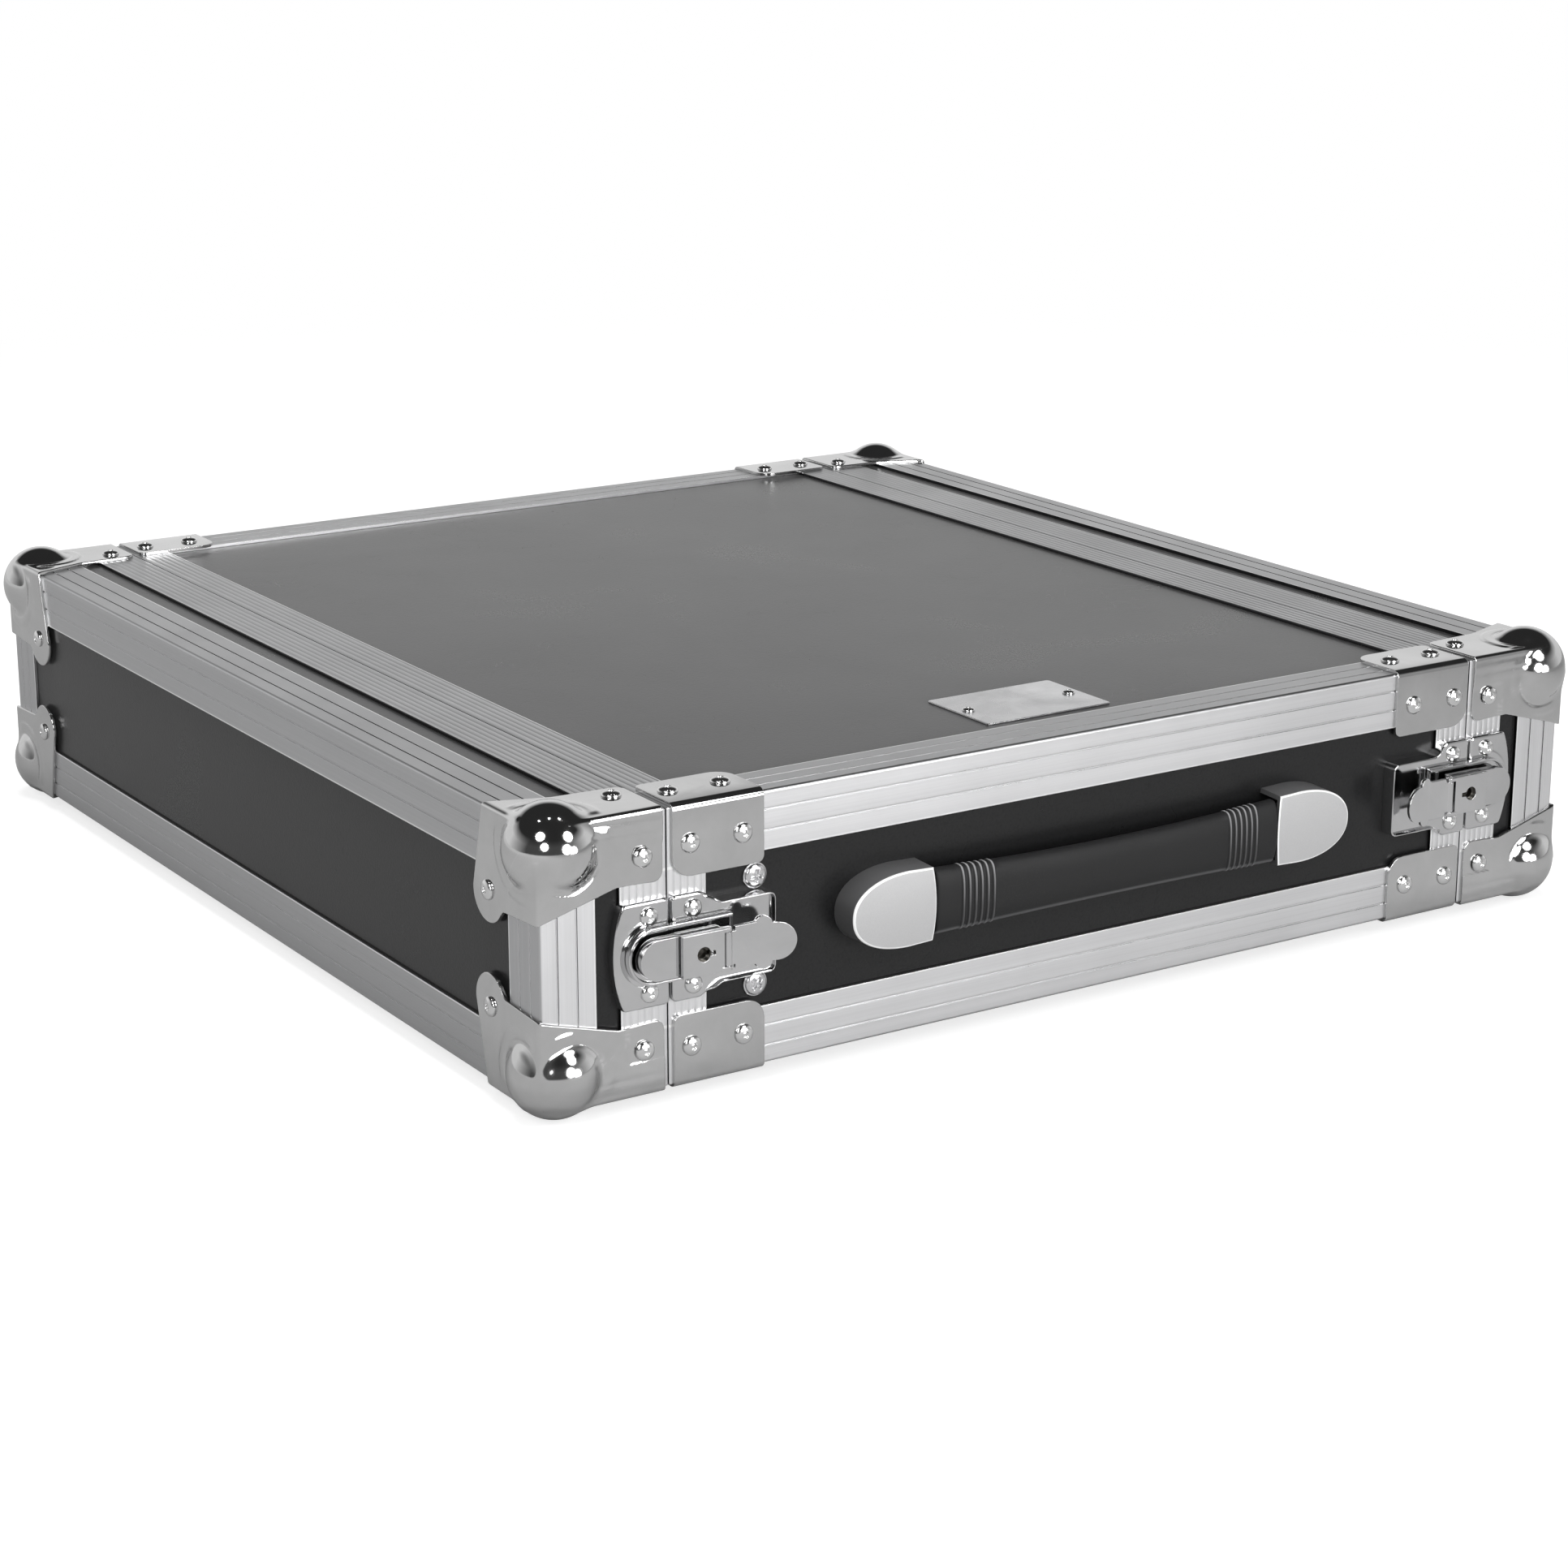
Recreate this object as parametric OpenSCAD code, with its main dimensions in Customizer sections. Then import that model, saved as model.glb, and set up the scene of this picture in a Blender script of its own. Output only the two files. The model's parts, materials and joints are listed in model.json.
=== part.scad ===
// Rack case for two rack units with a lift-off lid at each end, in millimetres.
// +X is the right side, -Y the front, +Z up; z = 0 is the lowest point of the ball corners.

/* [Case] */
// Distance between the rack rails' hole lines
rack_pitch_w = 465.1; // [440:0.1:600]
// Distance of the hole lines from the sides of the case
rack_inset = 30.45; // [29:0.05:36]
// Height of one rack unit
rack_step = 44.45; // [44.45:0.05:60]
// Number of rack units
rack_units = 2; // [2:1:6]
// Depth over the edge profiles with both lids on
case_d = 509; // [440:1:800]
// Depth of each lid from its face to the split
lid_depth = 54; // [52:1:70]
// Thickness of the laminated wall panels
panel_t = 7; // [6:0.5:7.5]
// Gap between a lid and the body
split_gap = 0.4; // [0.3:0.1:0.8]

/* [Edge profiles] */
// Width of the outer legs
leg_w = 23.5; // [21:0.5:25]
// Wall thickness of all the extrusions
wall = 1.5; // [1.2:0.1:1.8]
// Length of the inner lips that hold the panels
lip = 3.5; // [2.5:0.5:4]
// Radius of the outer edge
edge_r = 1.2; // [0.5:0.1:1.4]
// Width of the decorative grooves
groove_w = 0.7; // [0.4:0.1:1]
// Depth of the decorative grooves
groove_d = 0.35; // [0.2:0.05:0.5]

/* [Split rims] */
// Width of the outer flange on the body
body_flange = 17; // [14:0.5:18]
// Width of the outer flange on a lid
lid_flange = 20; // [17:0.5:22]
// Width of the inner flange on the body and the lids
rim_inner = 10; // [8:0.5:12]
// Thickness of the tongue on the body
tongue_t = 3; // [2:0.1:3.4]
// Length of the tongue on the body
tongue_l = 4; // [3:0.5:5]
// Clearance between the tongue and its groove
tongue_fit = 0.35; // [0.3:0.05:0.5]

/* [Ball corners and braces] */
// Radius of the ball
ball_r = 18; // [17:0.5:19]
// Distance of the ball's centre from each of the three faces
ball_inset = 11; // [10:0.5:12]
// Thickness of the sheet of corners and braces
sheet_t = 1.5; // [1.2:0.1:2]
// Reach of a corner along the long edges of the face
corner_arm = 40; // [36:1:44]
// Reach of a corner down the upright edge
corner_drop = 36; // [34:1:40]
// Gap between a corner or brace and the split
plate_gap = 1.8; // [1.2:0.1:2.4]
// Length of a brace along the case
brace_len = 40; // [36:1:46]
// Width of a brace's legs
brace_leg = 27.5; // [25:0.5:30]

/* [Rivets] */
// Radius of a rivet's shank
rivet_r = 2; // [1.6:0.1:2.4]
// Radius of a rivet's head
rivet_head_r = 3.6; // [3:0.1:4]
// Height of a rivet's head
rivet_head_h = 2; // [1.5:0.1:2.2]
// Radius of a latch rivet's head
latch_rivet_head_r = 3.2; // [2.8:0.1:3.3]

/* [Latches] */
// Height of the pressed latch plates
latch_h = 42; // [40:1:46]
// Reach of the keeper onto the lid
keeper_len = 24.5; // [22:0.5:27]
// Reach of the base onto the body
base_len = 45; // [43:0.5:50]
// Height of the narrow end of the base
base_end_h = 32; // [30:0.5:34]
// Height of the pressed plates over the profiles
pan_h = 3; // [2.5:0.1:3.2]
// Sheet thickness of the pressed plates
pan_t = 1.2; // [1:0.1:1.4]
// Distance of the turn's pivot from the split
pivot_y = 8; // [7.5:0.25:9]
// Width of the claw
claw_w = 22.4; // [21:0.2:23]
// Reach of the claw onto the lid
claw_nose = 20; // [18:0.5:21]
// Travel of the claw
claw_travel = 4; // [3:0.5:5]
// Length of the lock housing on the turn
lock_len = 18; // [17:0.5:19]
// Height of the lock housing on the turn
lock_h = 16.5; // [16:0.5:18]
// Top of the lock housing over the profiles
lock_top = 13.5; // [13:0.1:14.5]
// Reach of the turn's round end from the pivot
turn_reach = 25.5; // [24.5:0.5:26]
// Length of the wing from its hinge to its tip
wing_len = 28; // [26:0.5:30]
// Upward bend of the wing's tip in degrees
wing_bend = 16; // [8:1:24]
// Radius of the keyhole
keyhole_r = 2.9; // [2.4:0.1:3.2]

/* [Handles] */
// Distance of the end caps from the latch bases
handle_margin = 32.5; // [20:0.5:60]
// Length of an end cap
cap_len = 38.5; // [36:0.5:42]
// Height of an end cap at its round end
cap_h = 32; // [30:0.5:36]
// Height of an end cap at its straight end
cap_mouth_h = 28.5; // [27:0.5:29.5]
// Height of the caps over the profiles
cap_top = 11.5; // [10.5:0.5:13]
// Height of the grip at its ends
grip_h = 27; // [24:0.5:27]
// Thickness of the grip
grip_t = 8.5; // [7.5:0.5:9]
// Outward bow of the grip at its middle
grip_bow = 2; // [1:0.5:3]
// Narrowing of the grip at its middle
grip_waist = 3.6; // [2:0.2:5]

/* [Rack rails] */
// Radius of the rack holes
rack_hole_r = 3; // [2.5:0.1:3.5]
// Distance of the rails' faces from the front split
rail_setback = 29; // [26:0.5:60]
// Thickness of the rails
rail_t = 2; // [1.5:0.1:2.5]
// Depth of the rails' side flanges
rail_depth = 22; // [20:0.5:30]

/* [Name plate and lining] */
// Length of the bare plate on the top
plate_len = 62; // [50:1:80]
// Width of the bare plate on the top
plate_w = 43; // [35:1:46]
// Distance of the plate's centre from the right edge
plate_inset = 53; // [50:1:120]
// Thickness of the foam in each lid
foam_t = 15; // [8:0.5:20]

/* [Hidden] */
$fn = 48;
cut = 1;
fit = 0.3;
running_fit = 0.05;
mitre_gap = 0.1;
arc_steps = 6;
dome_steps = 4;

// Case: width and height over the edge profiles follow the rack bay
core_w = panel_t + 2 * wall;
inner_face = panel_t + wall;
bay_clearance = 0.1;
case_w = rack_pitch_w + 2 * rack_inset;
case_h = rack_units * rack_step + bay_clearance + 2 * core_w;
half_w = case_w / 2;
half_d = case_d / 2;
half_h = case_h / 2;
ball_reach = ball_r - ball_inset;
mid_z = ball_reach + half_h;
split_y = half_d - lid_depth;
body_end = split_y - split_gap / 2;
lid_len = lid_depth - split_gap / 2;

// Split rims: webs behind the tongue and behind its groove
body_web = 2 * wall;
lid_web = tongue_l + tongue_fit + wall;
tongue_mid = core_w / 2;
rim_groove_pitch = 3;
groove_shares = [0.3, 0.65];

// Rivets: hole, mandrel hole and how far a shank reaches below the profiles' faces
rivet_hole_r = rivet_r + running_fit;
mandrel_share = 0.55;
mandrel_depth_share = 0.6;
mandrel_r = rivet_r * mandrel_share;
mandrel_depth = rivet_head_h * mandrel_depth_share;
rivet_grip = wall;
panel_grip = 3;
small_rivet_head_r = 2.6;
small_rivet_head_h = 1.3;
small_rivet_r = 1.5;

// Corners: plate outlines, partly as shares of the reach of each arm, and the rivets
corner_side_arm = lid_len - plate_gap;
corner_side_w = brace_leg;
corner_top_w = 29.5;
corner_ear_r = 11.5;
corner_ear_inset = [3.5, 3];
corner_ear = [corner_arm, corner_drop] - corner_ear_inset;
corner_end_r = 4;
front_bulge_shares = [1.11, 0.5];
front_neck_share = 1.04;
top_taper_shares = [1.06, 0.45];
side_taper_shares = [0.62, 0.97];
corner_rivet_margin = 9;
side_rivet_line = 16.6;
top_rivet_line = 21;
side_rivet = [corner_side_arm - corner_rivet_margin, side_rivet_line];
top_rivet = [top_rivet_line, corner_side_arm - corner_rivet_margin];
ear_rivet_inset = [4, 4.5];
ear_rivet = [corner_arm, corner_drop] - ear_rivet_inset;
trim_r = ball_r - sheet_t - fit;

// Braces: small and large corner radius, the rivets' line and places along the brace
brace_r = [3, 8];
brace_rivet_line = 14.5;
brace_rivet_margins = [7.5, 9.5];
brace_rivets = [brace_rivet_margins[0], brace_len - brace_rivet_margins[1]];
brace_start = plate_gap;

// Latches: everything that is stacked over the base, and the pieces' own sizes
latch_gap = 0.6;
latch_rivet_y = 9.5;
latch_rivet_inset = 6;
latch_rivet_z = latch_h / 2 - latch_rivet_inset;
base_full_len = 13;
base_slope = 8;
base_curve_share = 0.8;
base_corner_r = 1;
base_end_r = 3;
base_rim_h = 2.2;
keeper_sagitta = 4;
claw_z0 = pan_h + fit;
claw_t = 1.2;
claw_rim_h = 3.1;
claw_tail_len = 17;
claw_tail = pivot_y + claw_tail_len;
claw_r = claw_w / 2;
stem_r = 3;
turn_z0 = claw_z0 + claw_rim_h + fit;
turn_r = 8;
turn_end_t = 4.1;
turn_bridge_t = 2.6;
turn_gap = 0.5;
lock_roof_t = 1.6;
lock_floor_t = 1.3;
lock_end = pivot_y + lock_len / 2;
barrel_r = 4;
keyway_w = 1.8;
keyway_l = 2.2;
barrel_floor_share = 0.33;
hinge_gap = 2.2;
hinge_drop = 1.5;
hinge_y = lock_end + hinge_gap;
hinge_z = lock_top - hinge_drop;
knuckle_r = 1.6;
wing_pin_r = 0.9;
ear_t = 1.4;
wing_t = 1.5;
wing_flat = 12;
wing_ear_r = 3.2;
wing_ear_w = 21;
wing_tip_w = 15;
wing_shoulder = 3;

// Handles: cover, strap and grip
cap_wall = 1.9;
cap_round_r = 15;
strap_t = 1.5;
strap_w = 18;
strap_ramp = 9;
grip_bottom = 3.6;
grip_neck_h = 22;
grip_neck_t = 5;
grip_neck_len = 7;
grip_groove_pitch = 3;
grip_grooves = 6;
grip_groove_w = 1.1;
grip_groove_d = 0.7;
grip_groove_margin = 14.2;
handle_screw_inset = 11;
handle_len = 2 * (split_y - base_len - handle_margin);

// The strap's square end stops short of the cap's round end
strap_corner = strap_w / 2 - (cap_h / 2 - cap_round_r);
strap_room = sqrt(pow(cap_round_r - cap_wall, 2) - pow(strap_corner, 2));
strap_end = handle_len / 2 - cap_round_r + strap_room - 2 * fit;

// Screws: shank, head and cross recess
screw_r = 2.5;
screw_hole_r = screw_r + running_fit;
screw_head_r = 4.9;
screw_head_h = 2.6;
washer_r = 5.2;
washer_t = 0.8;
recess_w = 1.3;
recess_len = 5.6;
recess_depth = 1.4;
rail_screw_z = half_h - brace_leg - washer_r - fit;
rail_screw_y = 10.2;
screw_past = 1.5;
rail_edge = 7.6;
rail_trim = 0.5;
rack_hole_shares = [1 / 7, 1 / 2, 6 / 7];
name_plate_t = 0.8;
name_plate_rivet = 5.5;
name_plate_r = 1.5;

function unit(v) = v / norm(v);

// Points of the arc that rounds corner p between its neighbours a and b; each point is [x, y, radius]
function corner_arc(a, p, b) =
    let (q = [p[0], p[1]], da = unit([a[0], a[1]] - q), db = unit([b[0], b[1]] - q), r = p[2])
    r <= 0 ? [q] :
    let (half = acos(max(-1, min(1, da * db))) / 2,
         c = q + unit(da + db) * r / sin(half),
         s = q + da * r / tan(half) - c,
         from = atan2(s[1], s[0]),
         turned = (da[0] * db[1] < da[1] * db[0] ? 2 : -2) * (90 - half))
    [for (i = [0:arc_steps]) c + r * [cos(from + turned * i / arc_steps), sin(from + turned * i / arc_steps)]];

// Outline with rounded corners from a list of [x, y, radius]
function rounded(pts) = let (n = len(pts))
    [for (i = [0:n - 1]) each corner_arc(pts[(i + n - 1) % n], pts[i], pts[(i + 1) % n])];

module flip(axis, on) {
    if (on) mirror(axis) children();
    else children();
}

// Places children at a vertex of the case, with +X, +Y and +Z pointing inwards from it
module at_vertex(sx, sy, sz) {
    translate([sx * half_w, sy * half_d, mid_z + sz * half_h])
        flip([1, 0, 0], sx > 0) flip([0, 1, 0], sy > 0) flip([0, 0, 1], sz > 0) children();
}

// The four vertices of the front face
module at_face_vertices() {
    for (sx = [-1, 1], sz = [-1, 1]) at_vertex(sx, -1, sz) children();
}

// The rear of the case mirrors its front
module at_end(rear) {
    flip([0, 1, 0], rear) children();
}

// Places children at a latch: +X outwards from the profiles, +Y from the split onto the body, z = 0 mid-height
module at_latch(sx, sy) {
    translate([0, 0, mid_z]) flip([1, 0, 0], sx < 0) flip([0, 1, 0], sy > 0)
        translate([half_w, -split_y, 0]) children();
}

// Places children at a handle: +X outwards from the profiles, +Y along the case, z = 0 mid-height
module at_handle(sx) {
    translate([0, 0, mid_z]) flip([1, 0, 0], sx < 0) translate([half_w, 0, 0]) children();
}

// A flat shape drawn in Y and Z, as a slab from height a to height b over the side
module slab(a, b) {
    translate([a, 0, 0]) rotate([90, 0, 90]) linear_extrude(b - a) children();
}

// A flat shape drawn in X and Y, as a slab from height a to height b
module layer(a, b) {
    translate([0, 0, a]) linear_extrude(b - a) children();
}

// A flat shape drawn in X and Z, as a slab from y = a to y = b
module leaf(a, b) {
    translate([0, b, 0]) rotate([90, 0, 0]) linear_extrude(b - a) children();
}

// A rod along X between two heights
module rod(r, a, b) {
    translate([a, 0, 0]) rotate([0, 90, 0]) cylinder(r = r, h = b - a);
}

// Section of the edge profiles, with its outer corner at the origin: two outer legs, a square core
// and two inner lips, so that a panel slides in on each side
module edge_section() {
    difference() {
        union() {
            square([leg_w, wall]);
            square([wall, leg_w]);
            square(core_w);
            translate([inner_face, 0]) square([wall, core_w + lip]);
            translate([0, inner_face]) square([core_w + lip, wall]);
        }
        translate([wall, wall]) square(panel_t);
        for (share = groove_shares) {
            translate([leg_w * share, -cut]) square([groove_w, groove_d + cut]);
            translate([-cut, leg_w * share]) square([groove_d + cut, groove_w]);
        }
        difference() {
            translate([-cut, -cut]) square(edge_r + cut);
            translate([edge_r, edge_r]) circle(edge_r);
        }
    }
}

// Fine grooves across a flange that is drawn from y = 0
module flange_grooves(flange) {
    for (y = [rim_groove_pitch:rim_groove_pitch:flange - groove_w])
        translate([y, -groove_d]) square([groove_w, groove_d + cut]);
}

// Section of the rim on the body; x runs from the split onto the body, y = 0 is the outer face
module body_rim_section() {
    difference() {
        union() {
            translate([0, -wall]) square([body_flange, wall]);
            translate([0, -core_w]) square([body_web, core_w]);
            translate([0, -core_w]) square([rim_inner, wall]);
            translate([-tongue_l, -tongue_mid - tongue_t / 2]) square([tongue_l + body_web, tongue_t]);
        }
        flange_grooves(body_flange);
    }
}

// Section of the rim on a lid; x runs from the split onto the lid
module lid_rim_section() {
    groove_t = tongue_t + 2 * tongue_fit;
    difference() {
        union() {
            translate([0, -wall]) square([lid_flange, wall]);
            translate([0, -core_w]) square([lid_web, core_w]);
            translate([0, -core_w]) square([rim_inner, wall]);
        }
        translate([-cut, -tongue_mid - groove_t / 2]) square([lid_web - wall + cut, groove_t]);
        flange_grooves(lid_flange);
    }
}

// One length of a section carried along X, with 45 degree ends; y0 and y1 bound the section along Y
module mitred_length(length, reach, y0, y1) {
    intersection() {
        rotate([90, 0, 90]) translate([0, 0, -length / 2]) linear_extrude(length) children();
        leaf(y0, y1) polygon([[-length / 2 + mitre_gap, 0], [length / 2 - mitre_gap, 0],
                              [length / 2 - reach - mitre_gap, -reach],
                              [-length / 2 + reach + mitre_gap, -reach]]);
    }
}

// Four mitred lengths round the case
module mitred_ring(reach, y0, y1) {
    translate([0, 0, mid_z]) {
        for (sz = [-1, 1]) flip([0, 0, 1], sz < 0)
            translate([0, 0, half_h]) mitred_length(case_w, reach, y0, y1) children();
        for (sx = [-1, 1]) flip([1, 0, 0], sx < 0)
            translate([half_w, 0, 0]) rotate([0, 90, 0]) mitred_length(case_h, reach, y0, y1) children();
    }
}

// Half section of a domed head over y = 0: radius r, height h, with an inner radius of r0 down to y0
function dome(r, h, r0, y0) =
    let (big = (r * r + h * h) / (2 * h), a0 = asin(r / big), a1 = asin(r0 / big))
    concat([for (i = [0:dome_steps]) let (a = a0 + (a1 - a0) * i / dome_steps)
               [big * sin(a), big * cos(a) - big + h]], [[r0, y0], [0, y0]]);

// A piece turned about X from a half section whose second coordinate runs along X
module turned_piece(points) {
    rotate([0, 90, 0]) rotate_extrude() polygon(points);
}

// A blind rivet along -X: the underside of its head is at x = 0 and its shank reaches down by grip
module rivet(head_r, head_h, shank_r, grip) {
    turned_piece(concat([[0, -grip], [shank_r, -grip], [shank_r, 0]],
                        dome(head_r, head_h, min(mandrel_r, head_r / 2), head_h - mandrel_depth)));
}

// Places of the rivets on one brace leg, in (along the case, across from the edge)
module at_brace_rivets() {
    for (y = brace_rivets) translate([0, brace_start + y, -brace_rivet_line]) children();
}

// The brace rivets of the front end of the body, heads up along +X at the profiles' faces
module at_body_plate_rivets() {
    for (sx = [-1, 1], sz = [-1, 1]) {
        translate([0, -body_end, mid_z]) flip([1, 0, 0], sx < 0) flip([0, 0, 1], sz < 0) {
            translate([half_w, 0, half_h]) at_brace_rivets() children();
            translate([half_w, 0, half_h]) mirror([1, 0, -1]) at_brace_rivets() children();
        }
    }
}

// The rivets of the latch plates at one end: side -1 on the lid, 1 on the body
module at_latch_rivets(side) {
    for (sx = [-1, 1], z = [-1, 1]) at_latch(sx, -1)
        translate([0, side * latch_rivet_y, z * latch_rivet_z]) children();
}

// The corner rivets on the sides, and on the top and bottom, of the front lid
module at_corner_flange_rivets() {
    at_face_vertices() {
        translate([0, side_rivet[0], side_rivet[1]]) mirror([1, 0, 0]) children();
        translate([top_rivet[0], top_rivet[1], 0]) rotate([0, 90, 0]) children();
    }
}

// The corner rivets on the face of the front lid
module at_corner_face_rivets() {
    at_face_vertices() translate([ear_rivet[0], 0, ear_rivet[1]]) rotate([0, 0, -90]) children();
}

module rivet_hole(depth) {
    rod(rivet_hole_r, -depth, cut + sheet_t);
}

module panel_block(x, y, z) {
    translate([-x / 2, -y / 2, -z / 2]) cube([x, y, z]);
}

body_panel_len = 2 * (body_end - body_web);
panel_w = case_w - 2 * core_w;
panel_h = case_h - 2 * core_w;

module flat_panel(sz) {
    color([0.22, 0.22, 0.23])
        translate([0, 0, mid_z + sz * (half_h - wall - panel_t / 2)]) panel_block(panel_w, body_panel_len, panel_t);
}

module top_panel() {
    difference() {
        flat_panel(1);
        at_name_plate_rivets() rod(small_rivet_r + running_fit, -panel_grip - cut, cut);
    }
}

module bottom_panel() flat_panel(-1);

module side_panel(sx) {
    color([0.13, 0.13, 0.14]) difference() {
        translate([sx * (half_w - wall - panel_t / 2), 0, mid_z]) panel_block(panel_t, body_panel_len, panel_h);
        at_rail_screws(sx) rod(screw_hole_r, -panel_t - cut, cut);
        at_handle_screws(sx) rod(screw_hole_r, -panel_t - cut, cut);
    }
}

// Screws stand on the outer face of a side panel
module at_rail_screws(sx) {
    for (z = [-1, 1]) at_latch(sx, -1)
        translate([-wall, rail_setback + rail_screw_y, z * rail_screw_z]) children();
}

module at_handle_screws(sx) {
    for (e = [-1, 1]) at_handle(sx)
        translate([-wall, e * (handle_len / 2 - handle_screw_inset), 0]) children();
}

module edge_profile(sx, sz) {
    length = 2 * (body_end - body_flange);
    color([0.72, 0.73, 0.75]) difference() {
        translate([sx * half_w, 0, mid_z + sz * half_h])
            flip([1, 0, 0], sx > 0) flip([0, 0, 1], sz > 0)
                leaf(-length / 2, length / 2) edge_section();
        for (rear = [false, true]) at_end(rear) at_body_plate_rivets() rivet_hole(2 * wall);
    }
}

module body_rim(rear) {
    color([0.8, 0.81, 0.83]) at_end(rear) difference() {
        translate([0, -body_end, 0]) mitred_ring(core_w, -tongue_l - cut, body_flange + cut) body_rim_section();
        at_body_plate_rivets() rivet_hole(2 * wall);
        at_latch_rivets(1) rivet_hole(2 * wall);
    }
}

// One brace: a bent sheet over the edge, large corner radii on opposite ends of its two legs
module brace(side_r, top_r) {
    y0 = brace_start;
    y1 = brace_start + brace_len;
    intersection() {
        leaf(y0, y1) difference() {
            polygon(rounded([[sheet_t, sheet_t, 2 * sheet_t], [sheet_t, -brace_leg, 0],
                             [-brace_leg, -brace_leg, 0], [-brace_leg, sheet_t, 0]]));
            translate([-brace_leg - cut, -brace_leg - cut]) square(brace_leg + cut);
        }
        union() {
            slab(-cut, sheet_t + cut) polygon(rounded([[y0, -brace_leg, side_r[0]], [y1, -brace_leg, side_r[1]],
                                                       [y1, sheet_t + cut, 0], [y0, sheet_t + cut, 0]]));
            mirror([1, 0, -1])
                slab(-cut, sheet_t + cut) polygon(rounded([[y0, -brace_leg, top_r[0]], [y1, -brace_leg, top_r[1]],
                                                           [y1, sheet_t + cut, 0], [y0, sheet_t + cut, 0]]));
        }
    }
}

module braces() {
    near_round = [brace_r[1], brace_r[0]];
    far_round = [brace_r[0], brace_r[1]];
    color([0.75, 0.76, 0.78])
        for (rear = [false, true]) at_end(rear) difference() {
            for (sx = [-1, 1], sz = [-1, 1])
                translate([0, -body_end, mid_z]) flip([1, 0, 0], sx < 0) flip([0, 0, 1], sz < 0)
                    translate([half_w, 0, half_h])
                        brace(sz > 0 ? near_round : far_round, sz > 0 ? far_round : near_round);
            at_body_plate_rivets() rivet_hole(cut);
        }
}

module body_rivets() {
    color([0.85, 0.85, 0.86]) {
        for (rear = [false, true]) at_end(rear) {
            at_body_plate_rivets() translate([sheet_t, 0, 0])
                rivet(rivet_head_r, rivet_head_h, rivet_r, sheet_t + rivet_grip);
            at_latch_rivets(1) translate([pan_h, 0, 0])
                rivet(latch_rivet_head_r, rivet_head_h, rivet_r, pan_h + rivet_grip);
        }
        at_name_plate_rivets() translate([name_plate_t, 0, 0])
            rivet(small_rivet_head_r, small_rivet_head_h, small_rivet_r, name_plate_t + panel_grip);
    }
}

// The plate's rivets stand on the top panel
module at_name_plate_rivets() {
    for (e = [-1, 1])
        translate([half_w - plate_inset, e * (plate_len / 2 - name_plate_rivet), mid_z + half_h - wall])
            rotate([0, -90, 0]) children();
}

module name_plate() {
    x = plate_w / 2;
    y = plate_len / 2;
    color([0.82, 0.82, 0.83]) difference() {
        translate([half_w - plate_inset, 0, mid_z + half_h - wall])
            layer(0, name_plate_t) polygon(rounded([for (p = [[-1, -1], [1, -1], [1, 1], [-1, 1]])
                [p[0] * x, p[1] * y, name_plate_r]]));
        at_name_plate_rivets() rod(small_rivet_r + running_fit, -cut, name_plate_t + cut);
    }
}

// Rack rail: a face flange with the rack holes and a side flange that is screwed to the side panel
module rack_rail(sx) {
    rail_h = rack_units * rack_step - rail_trim;
    outer = half_w - inner_face;
    inner = rack_pitch_w / 2 - rail_edge;
    lip_h = case_h - 2 * (core_w + lip) - 2 * fit;
    side_h = min(rail_h, lip_h);
    color([0.2, 0.2, 0.21]) difference() {
        translate([0, -split_y + rail_setback, mid_z]) flip([1, 0, 0], sx < 0) {
            translate([inner, 0, -rail_h / 2]) cube([outer - wall - fit - inner, rail_t, rail_h]);
            translate([outer - 2 * wall - fit - rail_t, 0, -side_h / 2])
                cube([2 * wall + fit + rail_t, rail_t, side_h]);
            translate([outer - rail_t, 0, -side_h / 2]) cube([rail_t, rail_depth, side_h]);
        }
        translate([sx * rack_pitch_w / 2, -split_y + rail_setback, mid_z])
            for (unit = [0:rack_units - 1], share = rack_hole_shares)
                translate([0, 0, (unit + share - rack_units / 2) * rack_step]) rotate([-90, 0, 0])
                    translate([0, 0, -cut]) cylinder(r = rack_hole_r, h = rail_t + 2 * cut);
        at_rail_screws(sx) rod(screw_hole_r, -panel_t - rail_t - cut, -panel_t + cut);
    }
}

// A cross-head screw with its washer along -X: the washer's underside is at x = 0
module washer_screw(shank) {
    lifted = [for (p = dome(screw_head_r, screw_head_h, 0, screw_head_h)) [p[0], p[1] + washer_t]];
    difference() {
        turned_piece(concat([[0, -shank], [screw_r, -shank], [screw_r, 0], [washer_r, 0], [washer_r, washer_t]],
                            [for (i = [0:dome_steps]) lifted[i]]));
        for (a = [0, 90]) rotate([a, 0, 0])
            translate([washer_t + screw_head_h - recess_depth, -recess_len / 2, -recess_w / 2])
                cube([recess_depth + cut, recess_len, recess_w]);
    }
}

module screws() {
    color([0.8, 0.8, 0.81]) for (sx = [-1, 1]) {
        at_rail_screws(sx) washer_screw(panel_t + rail_t + screw_past);
        at_handle_screws(sx) translate([strap_t, 0, 0]) washer_screw(strap_t + panel_t);
    }
}

// Outline of an end cap from its mouth at x = 0, drawn in by the given inset except at the mouth
function cap_outline(inset, mouth) =
    let (m = cap_mouth_h / 2 - inset, r = cap_h / 2 - inset, far = cap_len - inset)
    rounded([[-mouth, -m, 0], [far, -r, cap_round_r - inset], [far, r, cap_round_r - inset], [-mouth, m, 0]]);

module handle_caps(sx) {
    color([0.62, 0.63, 0.65]) at_handle(sx) for (e = [0, 1]) flip([0, 1, 0], e == 1)
        translate([0, handle_len / 2 - cap_len, 0]) difference() {
            slab(-wall, cap_top) polygon(cap_outline(0, 0));
            slab(-wall - cut, cap_top - cap_wall) polygon(cap_outline(cap_wall, cut));
        }
}

grip_half = handle_len / 2 - cap_len - fit;
grip_mid_z = grip_bottom + grip_t / 2;

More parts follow.
